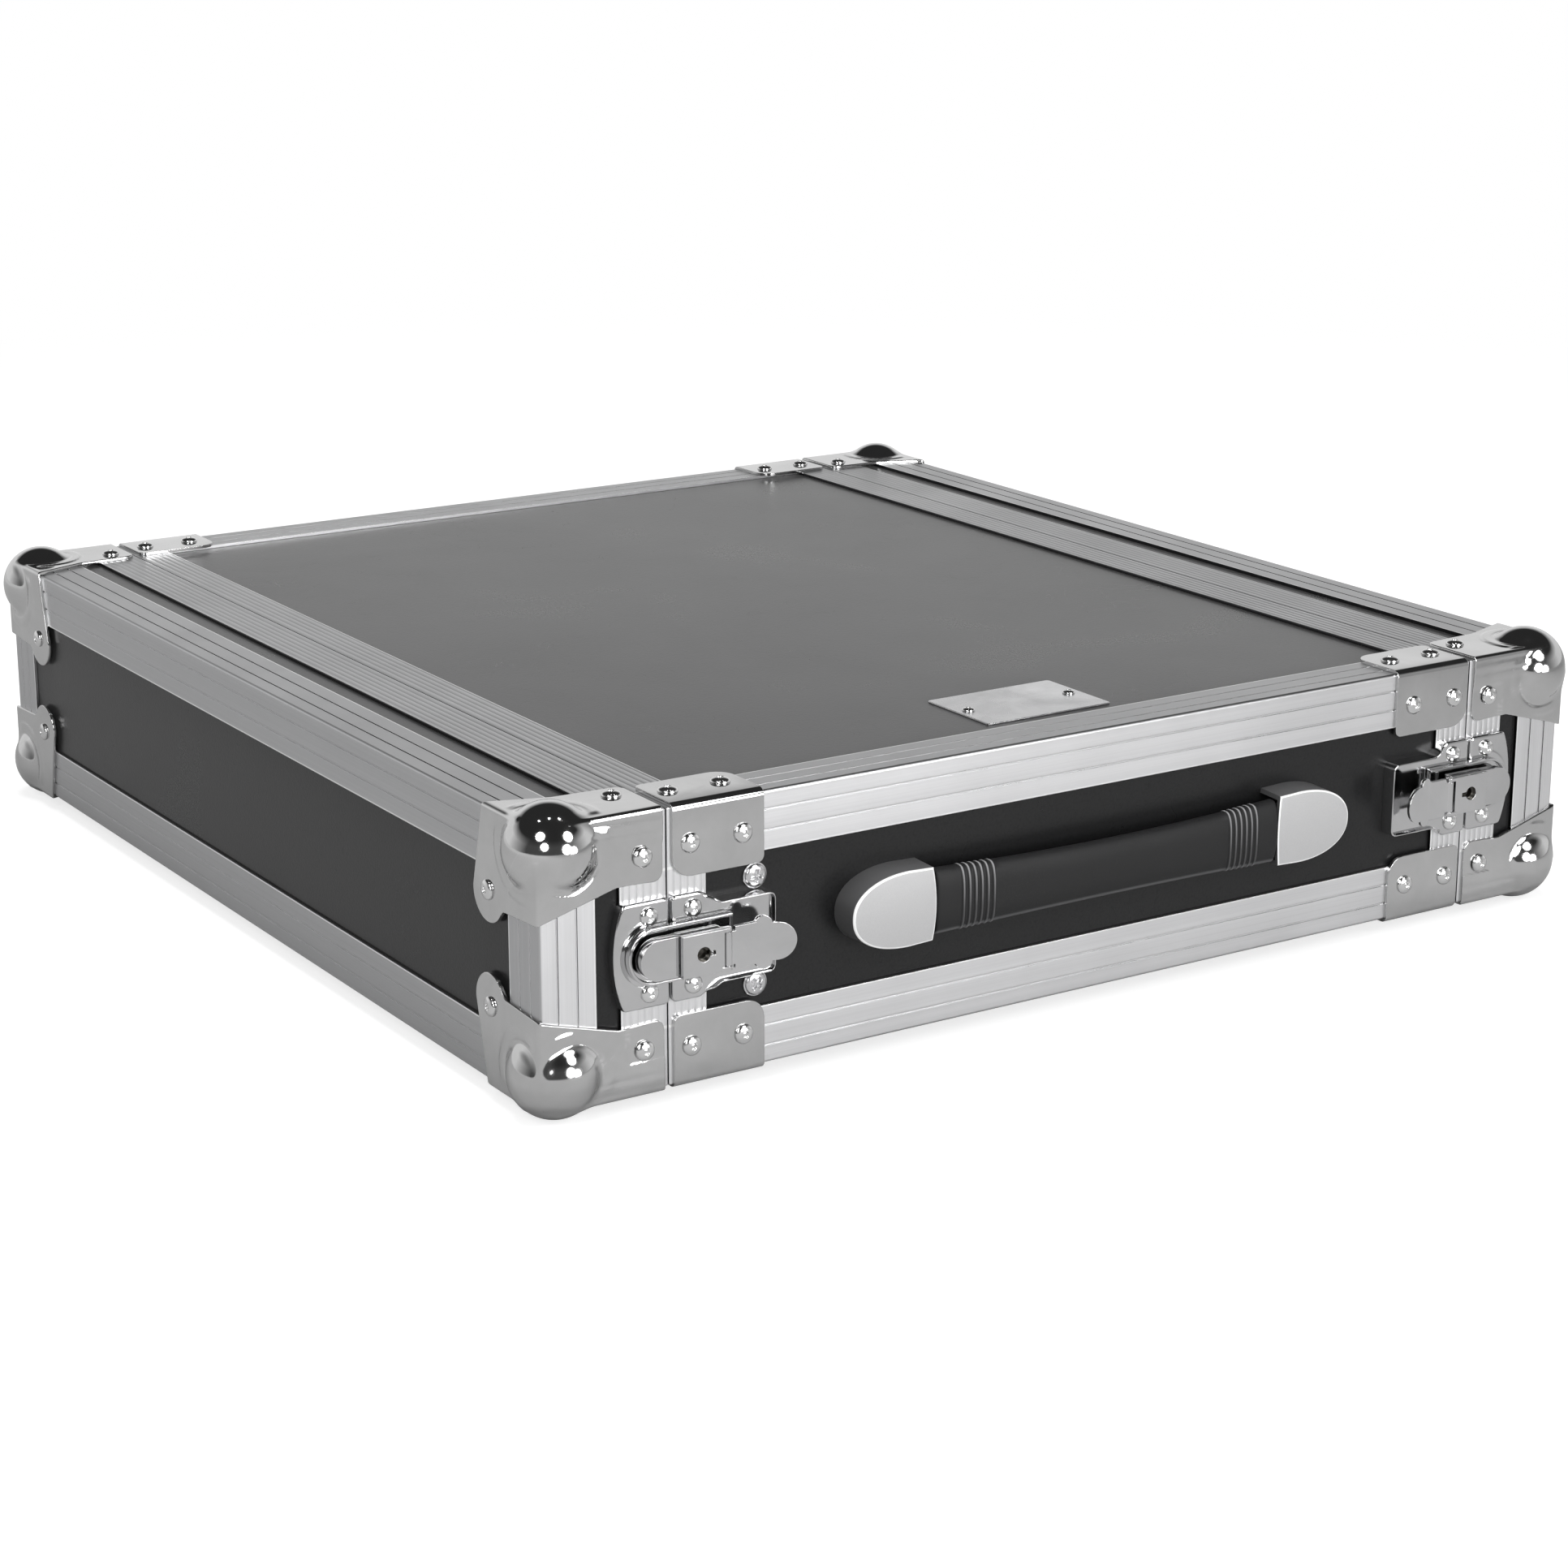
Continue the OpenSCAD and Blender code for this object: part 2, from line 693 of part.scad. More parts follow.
// Edge of the grip from end to end: a share of 1 at the ends that falls to 0 at the middle
function grip_curve(amount) = [for (i = [-arc_steps:arc_steps])
    let (s = i / arc_steps) [s * grip_half, amount * (1 - s * s)]];

module grip_profile() {
    waist = [for (p = grip_curve(grip_waist / 2)) [p[0], grip_h / 2 - p[1]]];
    n = len(waist);
    polygon(concat(waist, [for (i = [n - 1:-1:0]) [waist[i][0], -waist[i][1]]]));
}

module grip_side() {
    low = [for (p = grip_curve(grip_bow)) [p[1] + grip_bottom, p[0]]];
    n = len(low);
    polygon(concat(low, [for (i = [n - 1:-1:0]) [low[i][0] + grip_t, low[i][1]]]));
}

module handle_grip(sx) {
    color([0.12, 0.12, 0.13]) at_handle(sx) difference() {
        union() {
            intersection() {
                slab(0, grip_bottom + grip_t + grip_bow + cut) grip_profile();
                layer(-grip_h, grip_h) grip_side();
            }
            translate([cap_top - cap_wall - fit - grip_neck_t, -grip_half - grip_neck_len, -grip_neck_h / 2])
                cube([grip_neck_t, 2 * (grip_half + grip_neck_len), grip_neck_h]);
        }
        translate([grip_mid_z - strap_t / 2 - fit, -handle_len / 2, -strap_w / 2 - fit])
            cube([strap_t + 2 * fit, handle_len, strap_w + 2 * fit]);
        for (e = [-1, 1], i = [0:grip_grooves - 1])
            translate([0, e * (grip_half - grip_groove_margin - i * grip_groove_pitch) - grip_groove_w / 2, 0])
                grip_groove();
    }
}

// A groove round the front, top and bottom of the grip
module grip_groove() {
    top = grip_bottom + grip_t;
    difference() {
        translate([0, 0, -grip_h]) cube([top + grip_bow + cut, grip_groove_w, 2 * grip_h]);
        translate([-cut, -cut, -grip_h / 2 + grip_groove_d + grip_waist / 4])
            cube([top - grip_groove_d + grip_bow / 2 + cut, grip_groove_w + 2 * cut,
                  grip_h - 2 * grip_groove_d - grip_waist / 2]);
    }
}

// Steel strap: flat feet on the panel, ramps, and the straight run through the grip and its necks
module handle_strap(sx) {
    run = grip_half + grip_neck_len + fit;
    ramp = run + strap_ramp;
    low = -wall;
    high = grip_mid_z - strap_t / 2;
    under = [[low, -strap_end], [low, -ramp], [high, -run], [high, run], [low, ramp], [low, strap_end]];
    over = [for (i = [len(under) - 1:-1:0]) [under[i][0] + strap_t, under[i][1]]];
    color([0.55, 0.56, 0.58]) difference() {
        at_handle(sx) layer(-strap_w / 2, strap_w / 2) polygon(concat(under, over));
        at_handle_screws(sx) rod(screw_hole_r, -cut, strap_t + cut);
    }
}

// Outline of the base from the split: full height, an S-curve, then the narrow end
function base_outline(i) =
    let (y0 = latch_gap + i, y1 = base_full_len, y2 = base_full_len + base_slope, y3 = base_len - i,
         a = latch_h / 2 - i, b = base_end_h / 2 - i, r = base_slope * base_curve_share)
    rounded([[y0, -a, base_corner_r], [y1, -a, r], [y2, -b, r], [y3, -b, base_end_r],
             [y3, b, base_end_r], [y2, b, r], [y1, a, r], [y0, a, base_corner_r]]);

module latch_base(sx, sy) {
    color([0.78, 0.79, 0.8]) at_latch(sx, sy) difference() {
        union() {
            slab(0, pan_h) polygon(base_outline(0));
            intersection() {
                union() {
                    slab(-wall, 0) polygon(base_outline(0));
                    slab(pan_h, pan_h + base_rim_h) difference() {
                        polygon(base_outline(0));
                        polygon(base_outline(pan_t));
                    }
                }
                translate([-wall, body_flange + split_gap + fit, -latch_h]) cube([base_len, base_len, 2 * latch_h]);
            }
        }
        difference() {
            slab(-wall - cut, pan_h - pan_t) polygon(base_outline(pan_t));
            translate([0, pivot_y, 0]) rod(2 * stem_r, fit, pan_h);
        }
        translate([0, pivot_y, 0]) rod(stem_r + running_fit, -cut, pan_h + cut);
        for (z = [-1, 1]) translate([0, latch_rivet_y, z * latch_rivet_z]) rivet_hole(cut + pan_h);
        for (z = [-1, 1]) translate([pan_h, latch_rivet_y, z * latch_rivet_z]) rivet_hole(pan_h);
    }
}

// Outline of the keeper: square at the split, a flat arc at its far end
module keeper_outline(i) {
    a = latch_h / 2 - i;
    arc_r = (latch_h * latch_h / 4 + keeper_sagitta * keeper_sagitta) / (2 * keeper_sagitta);
    intersection() {
        translate([-keeper_len - cut, -a]) square([keeper_len + cut - latch_gap - i, 2 * a]);
        translate([-keeper_len + arc_r, 0]) circle(arc_r - i, $fn = 180);
    }
}

module keepers(rear) {
    color([0.78, 0.79, 0.8]) at_end(rear) for (sx = [-1, 1]) at_latch(sx, -1) difference() {
        union() {
            slab(0, pan_h) keeper_outline(0);
            intersection() {
                slab(-wall, cut) keeper_outline(0);
                translate([-wall, -lid_flange - split_gap - base_len - fit, -latch_h])
                    cube([base_len, base_len, 2 * latch_h]);
            }
        }
        slab(-wall - cut, pan_h - pan_t) keeper_outline(pan_t);
        for (z = [-1, 1]) translate([pan_h, -latch_rivet_y, z * latch_rivet_z]) rivet_hole(pan_h);
    }
}

// Claw: a round-nosed tray that the turn pulls along the case
module claw_outline(r) {
    nose = -claw_nose + claw_r;
    translate([nose, 0]) circle(r);
    translate([nose, -r]) square([claw_tail - nose, 2 * r]);
}

module claw(sx, sy) {
    color([0.8, 0.81, 0.82]) at_latch(sx, sy) difference() {
        slab(claw_z0, claw_z0 + claw_rim_h) claw_outline(claw_r);
        difference() {
            slab(claw_z0 + claw_t, claw_z0 + claw_rim_h + cut) claw_outline(claw_r - claw_t);
            translate([0, -claw_nose - cut, -claw_w]) cube([claw_z0 + claw_t, base_len, 2 * claw_w]);
        }
        slab(claw_z0 + claw_t, claw_z0 + claw_rim_h + cut) translate([claw_tail - cut, -claw_r + claw_t])
            square([2 * cut, claw_w - 2 * claw_t]);
        slab(claw_z0 - cut, claw_z0 + claw_rim_h + cut) {
            translate([pivot_y, 0]) circle(stem_r + fit);
            translate([pivot_y + claw_travel, 0]) circle(stem_r + fit);
            translate([pivot_y, -stem_r - fit]) square([claw_travel, 2 * (stem_r + fit)]);
        }
    }
}

// Turn: round end, lock housing with its keyhole, stem, and two ears for the wing's pin
module turn(sx, sy) {
    lock_start = pivot_y - lock_len / 2;
    end_mid = pivot_y - turn_reach + turn_r;
    ear_z = lock_h / 2 - ear_t;
    color([0.8, 0.81, 0.82]) at_latch(sx, sy) difference() {
        union() {
            slab(turn_z0, turn_z0 + turn_end_t) {
                translate([end_mid, 0]) circle(turn_r);
                translate([end_mid, -turn_r]) square([lock_start - end_mid - turn_gap, 2 * turn_r]);
            }
            slab(turn_z0, turn_z0 + turn_bridge_t) translate([end_mid, -turn_r])
                square([pivot_y - end_mid, 2 * turn_r]);
            slab(turn_z0, lock_top) translate([lock_start, -lock_h / 2]) square([lock_len, lock_h]);
            translate([0, pivot_y, 0]) rod(stem_r, fit, turn_z0 + cut);
            for (s = [0, 1]) flip([0, 0, 1], s == 1)
                translate([0, 0, ear_z]) layer(0, ear_t) {
                    translate([hinge_z, hinge_y]) circle(knuckle_r);
                    translate([hinge_z - knuckle_r, lock_end - cut]) square([2 * knuckle_r, hinge_gap + cut]);
                }
        }
        translate([0, pivot_y, 0]) rod(barrel_r + running_fit, turn_z0 + lock_floor_t, lock_top - lock_roof_t);
        slab(lock_top - lock_roof_t - cut, lock_top + cut) {
            translate([pivot_y, 0]) circle(keyhole_r);
            translate([pivot_y, -keyway_w / 2]) square([keyhole_r + keyway_l, keyway_w]);
        }
        translate([hinge_z, hinge_y, -lock_h]) cylinder(r = wing_pin_r + running_fit, h = 2 * lock_h);
    }
}

// Barrel of the key lock, inside the turn's housing
module lock_barrel(sx, sy) {
    low = turn_z0 + lock_floor_t + running_fit;
    high = lock_top - lock_roof_t - running_fit;
    floor_t = (high - low) * barrel_floor_share;
    color([0.45, 0.42, 0.3]) at_latch(sx, sy) translate([0, pivot_y, 0]) difference() {
        rod(barrel_r, low, high);
        rod(keyhole_r - keyway_w / 2, low + floor_t, high + cut);
        translate([low + floor_t, 0, -keyway_w / 2])
            cube([high - low, barrel_r - running_fit - wing_pin_r / 2, keyway_w]);
    }
}

// Section of the wing along the case: flat from its hinge, then bent outwards
module wing_section() {
    h = wing_t / 2;
    kink = h * tan(wing_bend / 2);
    reach = wing_len - wing_flat + cut;
    tip = [reach * sin(wing_bend), wing_flat + reach * cos(wing_bend)];
    across = [h * cos(wing_bend), -h * sin(wing_bend)];
    polygon([[h, 0], [h, wing_flat - kink], tip + across, tip - across, [-h, wing_flat + kink], [-h, 0]]);
}

// Outline of the wing: between the turn's ears, full width, two side ears and a round tip
module wing_outline(knuckle_w) {
    clear_y = knuckle_r + fit + cut;
    shoulder = wing_flat + wing_shoulder * cos(wing_bend);
    tip = wing_flat + (wing_len - wing_flat) * cos(wing_bend) - wing_tip_w / 2;
    translate([0, -knuckle_w / 2]) square([wing_flat, knuckle_w]);
    translate([clear_y, -lock_h / 2]) square([shoulder - clear_y, lock_h]);
    for (z = [-1, 1]) translate([shoulder, z * (wing_ear_w / 2 - wing_ear_r)]) circle(wing_ear_r);
    translate([wing_flat, -wing_tip_w / 2]) square([tip - wing_flat, wing_tip_w]);
    translate([tip, 0]) circle(wing_tip_w / 2);
}

// Wing: its barrel and pin sit between the turn's ears
module wing(sx, sy) {
    knuckle_w = lock_h - 2 * ear_t - 2 * fit;
    color([0.8, 0.81, 0.82]) at_latch(sx, sy) translate([hinge_z, hinge_y, 0]) {
        translate([0, 0, -knuckle_w / 2]) cylinder(r = knuckle_r, h = knuckle_w);
        translate([0, 0, -lock_h / 2]) cylinder(r = wing_pin_r, h = lock_h);
        intersection() {
            layer(-wing_ear_w, wing_ear_w) wing_section();
            slab(-wing_len, wing_len) wing_outline(knuckle_w);
        }
    }
}

// Face panel and four wall panels of a lid
module lid_face(rear) {
    color([0.2, 0.2, 0.21]) at_end(rear) difference() {
        translate([0, -half_d + wall + panel_t / 2, mid_z]) panel_block(panel_w, panel_t, panel_h);
        at_corner_face_rivets() rod(rivet_hole_r, -wall - panel_grip, cut);
    }
}

module lid_walls(rear) {
    y0 = core_w;
    y1 = lid_len - lid_web;
    mid_y = -half_d + (y0 + y1) / 2;
    color([0.16, 0.16, 0.17]) at_end(rear) for (s = [-1, 1]) {
        translate([0, mid_y, mid_z + s * (half_h - wall - panel_t / 2)]) panel_block(panel_w, y1 - y0, panel_t);
        translate([s * (half_w - wall - panel_t / 2), mid_y, mid_z]) panel_block(panel_t, y1 - y0, panel_h);
    }
}

// Material that the ball leaves no room for at a vertex
module vertex_trim() {
    difference() {
        translate([-cut, -cut, -cut]) cube(ball_inset + cut);
        translate([ball_inset, ball_inset, ball_inset]) sphere(trim_r);
    }
}

module lid_frame(rear) {
    color([0.74, 0.75, 0.77]) at_end(rear) difference() {
        union() {
            translate([0, -half_d, 0]) mitred_ring(leg_w, -cut, leg_w + cut) mirror([0, 1]) edge_section();
            at_face_vertices() leaf(leg_w + mitre_gap, lid_len - lid_flange) edge_section();
        }
        at_face_vertices() vertex_trim();
    }
}

module lid_rim(rear) {
    color([0.8, 0.81, 0.83]) at_end(rear) difference() {
        translate([0, -half_d + lid_len, 0]) mitred_ring(core_w, -lid_flange - cut, cut)
            mirror([1, 0]) lid_rim_section();
        at_corner_flange_rivets() rivet_hole(2 * wall);
        at_latch_rivets(-1) rivet_hole(2 * wall);
    }
}

// Outlines of the three plates of a ball corner, from the vertex
module corner_front_plate() {
    polygon([[-sheet_t, -sheet_t], [corner_arm, -sheet_t],
             [corner_arm * front_bulge_shares[0], corner_drop * front_bulge_shares[1]],
             [corner_ear[0] + corner_ear_r, corner_ear[1]], [corner_ear[0], corner_ear[1] + corner_ear_r],
             [leg_w + sheet_t, corner_drop * front_neck_share], [-sheet_t, corner_drop]]);
    translate(corner_ear) circle(corner_ear_r);
}

module corner_top_plate() {
    polygon(rounded([[-sheet_t, -sheet_t, 0], [corner_arm, -sheet_t, 0],
                     [corner_top_w * top_taper_shares[0], corner_side_arm * top_taper_shares[1], corner_end_r],
                     [corner_top_w, corner_side_arm, corner_end_r], [-sheet_t, corner_side_arm, 0]]));
}

module corner_side_plate() {
    polygon(rounded([[-sheet_t, -sheet_t, 0], [corner_side_arm, -sheet_t, 0],
                     [corner_side_arm, corner_side_w, corner_end_r],
                     [corner_side_arm * side_taper_shares[0], corner_side_w * side_taper_shares[1], corner_end_r],
                     [-sheet_t, corner_drop, 0]]));
}

// A ball corner: a hollow ball that runs out into a plate on each of the three faces
module ball_corner() {
    room = corner_side_arm + corner_arm;
    difference() {
        union() {
            translate([ball_inset, ball_inset, ball_inset]) sphere(ball_r);
            difference() {
                union() {
                    leaf(-sheet_t, 0) corner_front_plate();
                    layer(-sheet_t, 0) corner_top_plate();
                    slab(-sheet_t, 0) corner_side_plate();
                }
                translate([-ball_r, -ball_r, -ball_r]) cube(ball_r + ball_inset);
            }
        }
        translate([ball_inset, ball_inset, ball_inset]) sphere(ball_r - sheet_t);
        translate([ball_inset, 0, 0]) cube(room);
        translate([0, ball_inset, 0]) cube(room);
        translate([0, 0, ball_inset]) cube(room);
    }
}

module ball_corners(rear) {
    color([0.78, 0.79, 0.81]) at_end(rear) difference() {
        at_face_vertices() ball_corner();
        at_corner_flange_rivets() rivet_hole(cut);
        at_corner_face_rivets() rivet_hole(cut);
    }
}

module lid_foam(rear) {
    inset = core_w + lip + fit;
    color([0.1, 0.1, 0.1]) at_end(rear)
        translate([0, -half_d + inner_face + foam_t / 2, mid_z])
            panel_block(case_w - 2 * inset, foam_t, case_h - 2 * inset);
}

module lid_rivets(rear) {
    color([0.85, 0.85, 0.86]) at_end(rear) {
        at_corner_flange_rivets() translate([sheet_t, 0, 0])
            rivet(rivet_head_r, rivet_head_h, rivet_r, sheet_t + rivet_grip);
        at_corner_face_rivets() translate([sheet_t, 0, 0])
            rivet(rivet_head_r, rivet_head_h, rivet_r, sheet_t + wall + panel_grip - fit);
        at_latch_rivets(-1) translate([pan_h, 0, 0])
            rivet(latch_rivet_head_r, rivet_head_h, rivet_r, pan_h + rivet_grip);
    }
}

top_panel();
bottom_panel();
side_panel(1);  // right_panel
side_panel(-1);  // left_panel
edge_profile(1, 1);  // top_right_profile
edge_profile(-1, 1);  // top_left_profile
edge_profile(1, -1);  // bottom_right_profile
edge_profile(-1, -1);  // bottom_left_profile
body_rim(false);  // front_rim
body_rim(true);  // rear_rim
braces();
body_rivets();
rack_rail(1);  // right_rack_rail
rack_rail(-1);  // left_rack_rail
screws();
name_plate();
handle_caps(1);  // right_handle_caps
handle_grip(1);  // right_handle_grip
handle_strap(1);  // right_handle_strap
handle_caps(-1);  // left_handle_caps
handle_grip(-1);  // left_handle_grip
handle_strap(-1);  // left_handle_strap
latch_base(1, -1);  // front_right_latch_base
latch_base(-1, -1);  // front_left_latch_base
latch_base(1, 1);  // rear_right_latch_base
latch_base(-1, 1);  // rear_left_latch_base
lid_face(false);  // front_lid_face
lid_walls(false);  // front_lid_walls
lid_frame(false);  // front_lid_frame
lid_rim(false);  // front_lid_rim
ball_corners(false);  // front_ball_corners
lid_foam(false);  // front_lid_foam
keepers(false);  // front_keepers
lid_rivets(false);  // front_lid_rivets
lid_face(true);  // rear_lid_face
lid_walls(true);  // rear_lid_walls
lid_frame(true);  // rear_lid_frame
lid_rim(true);  // rear_lid_rim
ball_corners(true);  // rear_ball_corners
lid_foam(true);  // rear_lid_foam
keepers(true);  // rear_keepers
lid_rivets(true);  // rear_lid_rivets
turn(1, -1);  // front_right_turn
wing(1, -1);  // front_right_wing
claw(1, -1);  // front_right_claw
lock_barrel(1, -1);  // front_right_lock
turn(-1, -1);  // front_left_turn
wing(-1, -1);  // front_left_wing
claw(-1, -1);  // front_left_claw
lock_barrel(-1, -1);  // front_left_lock
turn(1, 1);  // rear_right_turn
wing(1, 1);  // rear_right_wing
claw(1, 1);  // rear_right_claw
lock_barrel(1, 1);  // rear_right_lock
turn(-1, 1);  // rear_left_turn
wing(-1, 1);  // rear_left_wing
claw(-1, 1);  // rear_left_claw
lock_barrel(-1, 1);  // rear_left_lock
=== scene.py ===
import json
import bmesh
import bpy
import numpy as np
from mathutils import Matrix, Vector

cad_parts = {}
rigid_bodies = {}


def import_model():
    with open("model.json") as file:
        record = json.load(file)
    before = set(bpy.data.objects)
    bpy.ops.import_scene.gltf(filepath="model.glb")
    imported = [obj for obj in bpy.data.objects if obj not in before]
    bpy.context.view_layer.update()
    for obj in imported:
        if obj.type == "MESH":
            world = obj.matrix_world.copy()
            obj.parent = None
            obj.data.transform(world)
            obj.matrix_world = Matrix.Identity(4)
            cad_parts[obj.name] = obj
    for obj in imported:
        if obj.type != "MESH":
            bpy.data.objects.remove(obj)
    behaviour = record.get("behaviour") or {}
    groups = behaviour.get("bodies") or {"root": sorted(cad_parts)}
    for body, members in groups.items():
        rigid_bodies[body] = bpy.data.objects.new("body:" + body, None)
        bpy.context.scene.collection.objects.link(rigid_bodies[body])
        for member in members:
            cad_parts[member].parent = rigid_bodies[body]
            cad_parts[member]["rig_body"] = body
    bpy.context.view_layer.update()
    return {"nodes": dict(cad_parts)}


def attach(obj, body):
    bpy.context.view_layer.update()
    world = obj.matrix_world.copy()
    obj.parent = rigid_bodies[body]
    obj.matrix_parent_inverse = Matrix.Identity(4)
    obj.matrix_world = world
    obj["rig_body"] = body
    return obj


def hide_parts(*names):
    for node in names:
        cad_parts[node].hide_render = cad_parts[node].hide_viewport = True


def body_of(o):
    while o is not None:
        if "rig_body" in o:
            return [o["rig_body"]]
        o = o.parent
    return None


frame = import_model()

print("frame loaded:", len(frame["nodes"]), "CAD nodes")

# the case in metres, as the CAD has it: half sizes over the profiles, height of the middle, and the split
case = {"halfW": 0.263, "halfD": 0.2545, "halfH": 0.0545, "midZ": 0.0615, "splitY": 0.2005}
mm = 0.001
ends = (("front", -1), ("rear", 1))     # each with the sign of its Y
sides = (("right", 1), ("left", -1))    # each with the sign of its X


def fill(node, sockets):
    # a node's inputs: each a value, or another node's output
    for key, value in sockets.items():
        if isinstance(value, bpy.types.NodeSocket):
            node.id_data.links.new(value, node.inputs[key])
        else:
            node.inputs[key].default_value = value


def put(tree, kind, sockets=None, **settings):
    # one shader node: settings are its properties
    node = tree.nodes.new("ShaderNode" + kind)
    for key, value in settings.items():
        setattr(node, key, value)
    fill(node, sockets or {})
    return node


def calc(operation, a, b=0.0, clamp=False):
    # a sum, in the tree of whichever number is another node's output
    tree = (a if isinstance(a, bpy.types.NodeSocket) else b).id_data
    return put(tree, "Math", {0: a, 1: b}, operation=operation, use_clamp=clamp).outputs[0]


def plus(a, b):
    return calc("ADD", a, b)


def minus(a, b, clamp=False):
    return calc("SUBTRACT", a, b, clamp)


def times(a, b):
    return calc("MULTIPLY", a, b)


def larger(a, b):
    return calc("MAXIMUM", a, b)


def remap(value, low, high, toLow=0.0, toHigh=1.0):
    return put(value.id_data, "MapRange", {"Value": value, "From Min": low, "From Max": high,
                                           "To Min": toLow, "To Max": toHigh}).outputs[0]


def dot(a, b):
    return put(a.id_data, "VectorMath", {0: a, 1: b}, operation="DOT_PRODUCT").outputs["Value"]


def xyz(vector):
    return put(vector.id_data, "SeparateXYZ", {0: vector}).outputs


def noise(place, scale, detail, **more):
    sockets = {"Vector": place, "Scale": scale, "Detail": detail, **more}
    return put(place.id_data, "TexNoise", sockets).outputs[0]


def blendColour(factor, a, b):
    colours = {key: (*value, 1) if isinstance(value, tuple) else value for key, value in ((6, a), (7, b))}
    return put(factor.id_data, "Mix", {0: factor, **colours}, data_type="RGBA").outputs[2]


def shaded(colour, share, more=0.0):
    return tuple(min(1.0, share * c + more) for c in colour)


def newGroup(name, inputs, outputs):
    # inputs are (name, socket kind, start value), outputs (name, socket kind)
    tree = bpy.data.node_groups.new(name, "ShaderNodeTree")
    for label, kind, start in inputs:
        socket = tree.interface.new_socket(label, in_out="INPUT", socket_type="NodeSocket" + kind)
        if start is not None:
            socket.default_value = start
    for label, kind in outputs:
        tree.interface.new_socket(label, in_out="OUTPUT", socket_type="NodeSocket" + kind)
    return tree, tree.nodes.new("NodeGroupInput").outputs, tree.nodes.new("NodeGroupOutput")


def useGroup(tree, group, sockets):
    return put(tree, "Group", sockets, node_tree=group).outputs


def drawnLinesGroup():
    # lines left by the extrusion die and the brush: noise that is stretched far along the length
    inputs = [("Place", "Vector", None), ("Pitch", "Float", 900.0), ("Stretch", "Vector", (1, 1, 1))]
    tree, given, out = newGroup("drawnLines", inputs, [("Shade", "Float"), ("Height", "Float")])
    along = {0: given["Place"], 1: given["Stretch"]}
    pulled = put(tree, "VectorMath", along, operation="MULTIPLY").outputs[0]
    fine = noise(pulled, given["Pitch"], 3.0, Roughness=0.6)
    wide = noise(pulled, times(given["Pitch"], 0.16), 2.0, Roughness=0.5)
    fill(out, {"Shade": plus(times(fine, 0.55), times(wide, 0.45)), "Height": fine})
    return tree


def handlingGroup():
    # marks of use: broad smears, thin curved scratches along the contour lines of a noise, and dust specks
    inputs = [("Place", "Vector", None), ("Size", "Float", 14.0), ("Scratch width", "Float", 0.004)]
    outputs = [("Smear", "Float"), ("Scratch", "Float"), ("Dust", "Float")]
    tree, given, out = newGroup("handling", inputs, outputs)
    smear = noise(given["Place"], given["Size"], 5.0, Roughness=0.62, Distortion=0.4)
    line = noise(given["Place"], times(given["Size"], 3.1), 1.0, Distortion=1.6)
    off = calc("ABSOLUTE", minus(line, 0.5))
    thin = minus(1.0, calc("DIVIDE", off, given["Scratch width"]), clamp=True)
    speck = noise(given["Place"], 1900.0, 2.0)
    fill(out, {"Smear": remap(smear, 0.3, 0.7), "Scratch": times(thin, remap(smear, 0.52, 0.66)),
               "Dust": times(remap(speck, 0.6, 0.72), remap(smear, 0.4, 0.7))})
    return tree


def edgeWearAndHighlightGroup():
    # an edge mask where the surface turns within the given radius, used for worn edges and for painted edge
    # highlights, and the softened normal there
    outputs = [("Edge", "Float"), ("Normal", "Vector")]
    tree, given, out = newGroup("edgeWearAndHighlight", [("Radius", "Float", 0.0006)], outputs)
    soft = put(tree, "Bevel", {"Radius": given["Radius"]}, samples=4).outputs[0]
    same = dot(soft, put(tree, "NewGeometry").outputs["True Normal"])
    fill(out, {"Edge": remap(same, 0.99, 0.78), "Normal": soft})
    return tree


def pebbledFilmGroup():
    # pebbled plastic film: rounded cells with thin valleys between them, and a finer noise over it
    tree, given, out = newGroup("pebbledFilm", [("Place", "Vector", None), ("Cells", "Float", 900.0)],
                                [("Height", "Float"), ("Valley", "Float")])
    bent = noise(given["Place"], times(given["Cells"], 0.4), 2.0)
    cell = put(tree, "TexVoronoi", {"Vector": given["Place"], "Scale": given["Cells"], "Smoothness": 0.6},
               feature="SMOOTH_F1").outputs["Distance"]
    fill(out, {"Height": plus(times(cell, -0.7), times(bent, 0.6)), "Valley": remap(cell, 0.45, 0.8)})
    return tree


drawnLines = drawnLinesGroup()
handling = handlingGroup()
edgeWearAndHighlight = edgeWearAndHighlightGroup()
pebbledFilm = pebbledFilmGroup()


def startMaterial(name, **sockets):
    # the shader's own sockets hold every number that is the same all over the surface
    material = bpy.data.materials.new(name)
    material.use_nodes = True
    tree = material.node_tree
    shader = tree.nodes["Principled BSDF"]
    fill(shader, {key.replace("_", " "): value for key, value in sockets.items()})
    return material, tree, shader, put(tree, "TexCoord").outputs["Object"]


def finishMaterial(shader, base, rough, height, strength, distance, normal=None):
    # colour, roughness, and a bump made from a height
    bump = put(shader.id_data, "Bump", {"Height": height, "Strength": strength, "Distance": distance})
    fill(bump, {} if normal is None else {"Normal": normal})
    fill(shader, {"Base Color": base, "Roughness": rough, "Normal": bump.outputs[0]})


def grained(place, grain, colour, share):
    # a fine even grain, and the colour with the grain in it
    spots = noise(place, grain, 3.0, Roughness=0.6)
    return spots, blendColour(remap(spots, 0.35, 0.65), shaded(colour, share), colour)


def marksOn(place, size, width=0.003):
    return useGroup(place.id_data, handling, {"Place": place, "Size": size, "Scratch width": width})


# where the laminate comes out from under the profiles and rims: metres from the middle along X, Y and Z
panelEdge = {"x": 0.2395, "y": (0.1833, 0.2207, 0.231), "z": 0.031}


def facesOf(tree):
    # 1 where a surface faces along X, Y or Z, from its true normal
    normal = xyz(put(tree, "NewGeometry").outputs["True Normal"])
    return [remap(calc("ABSOLUTE", normal[k]), 0.8, 0.9) for k in range(3)]


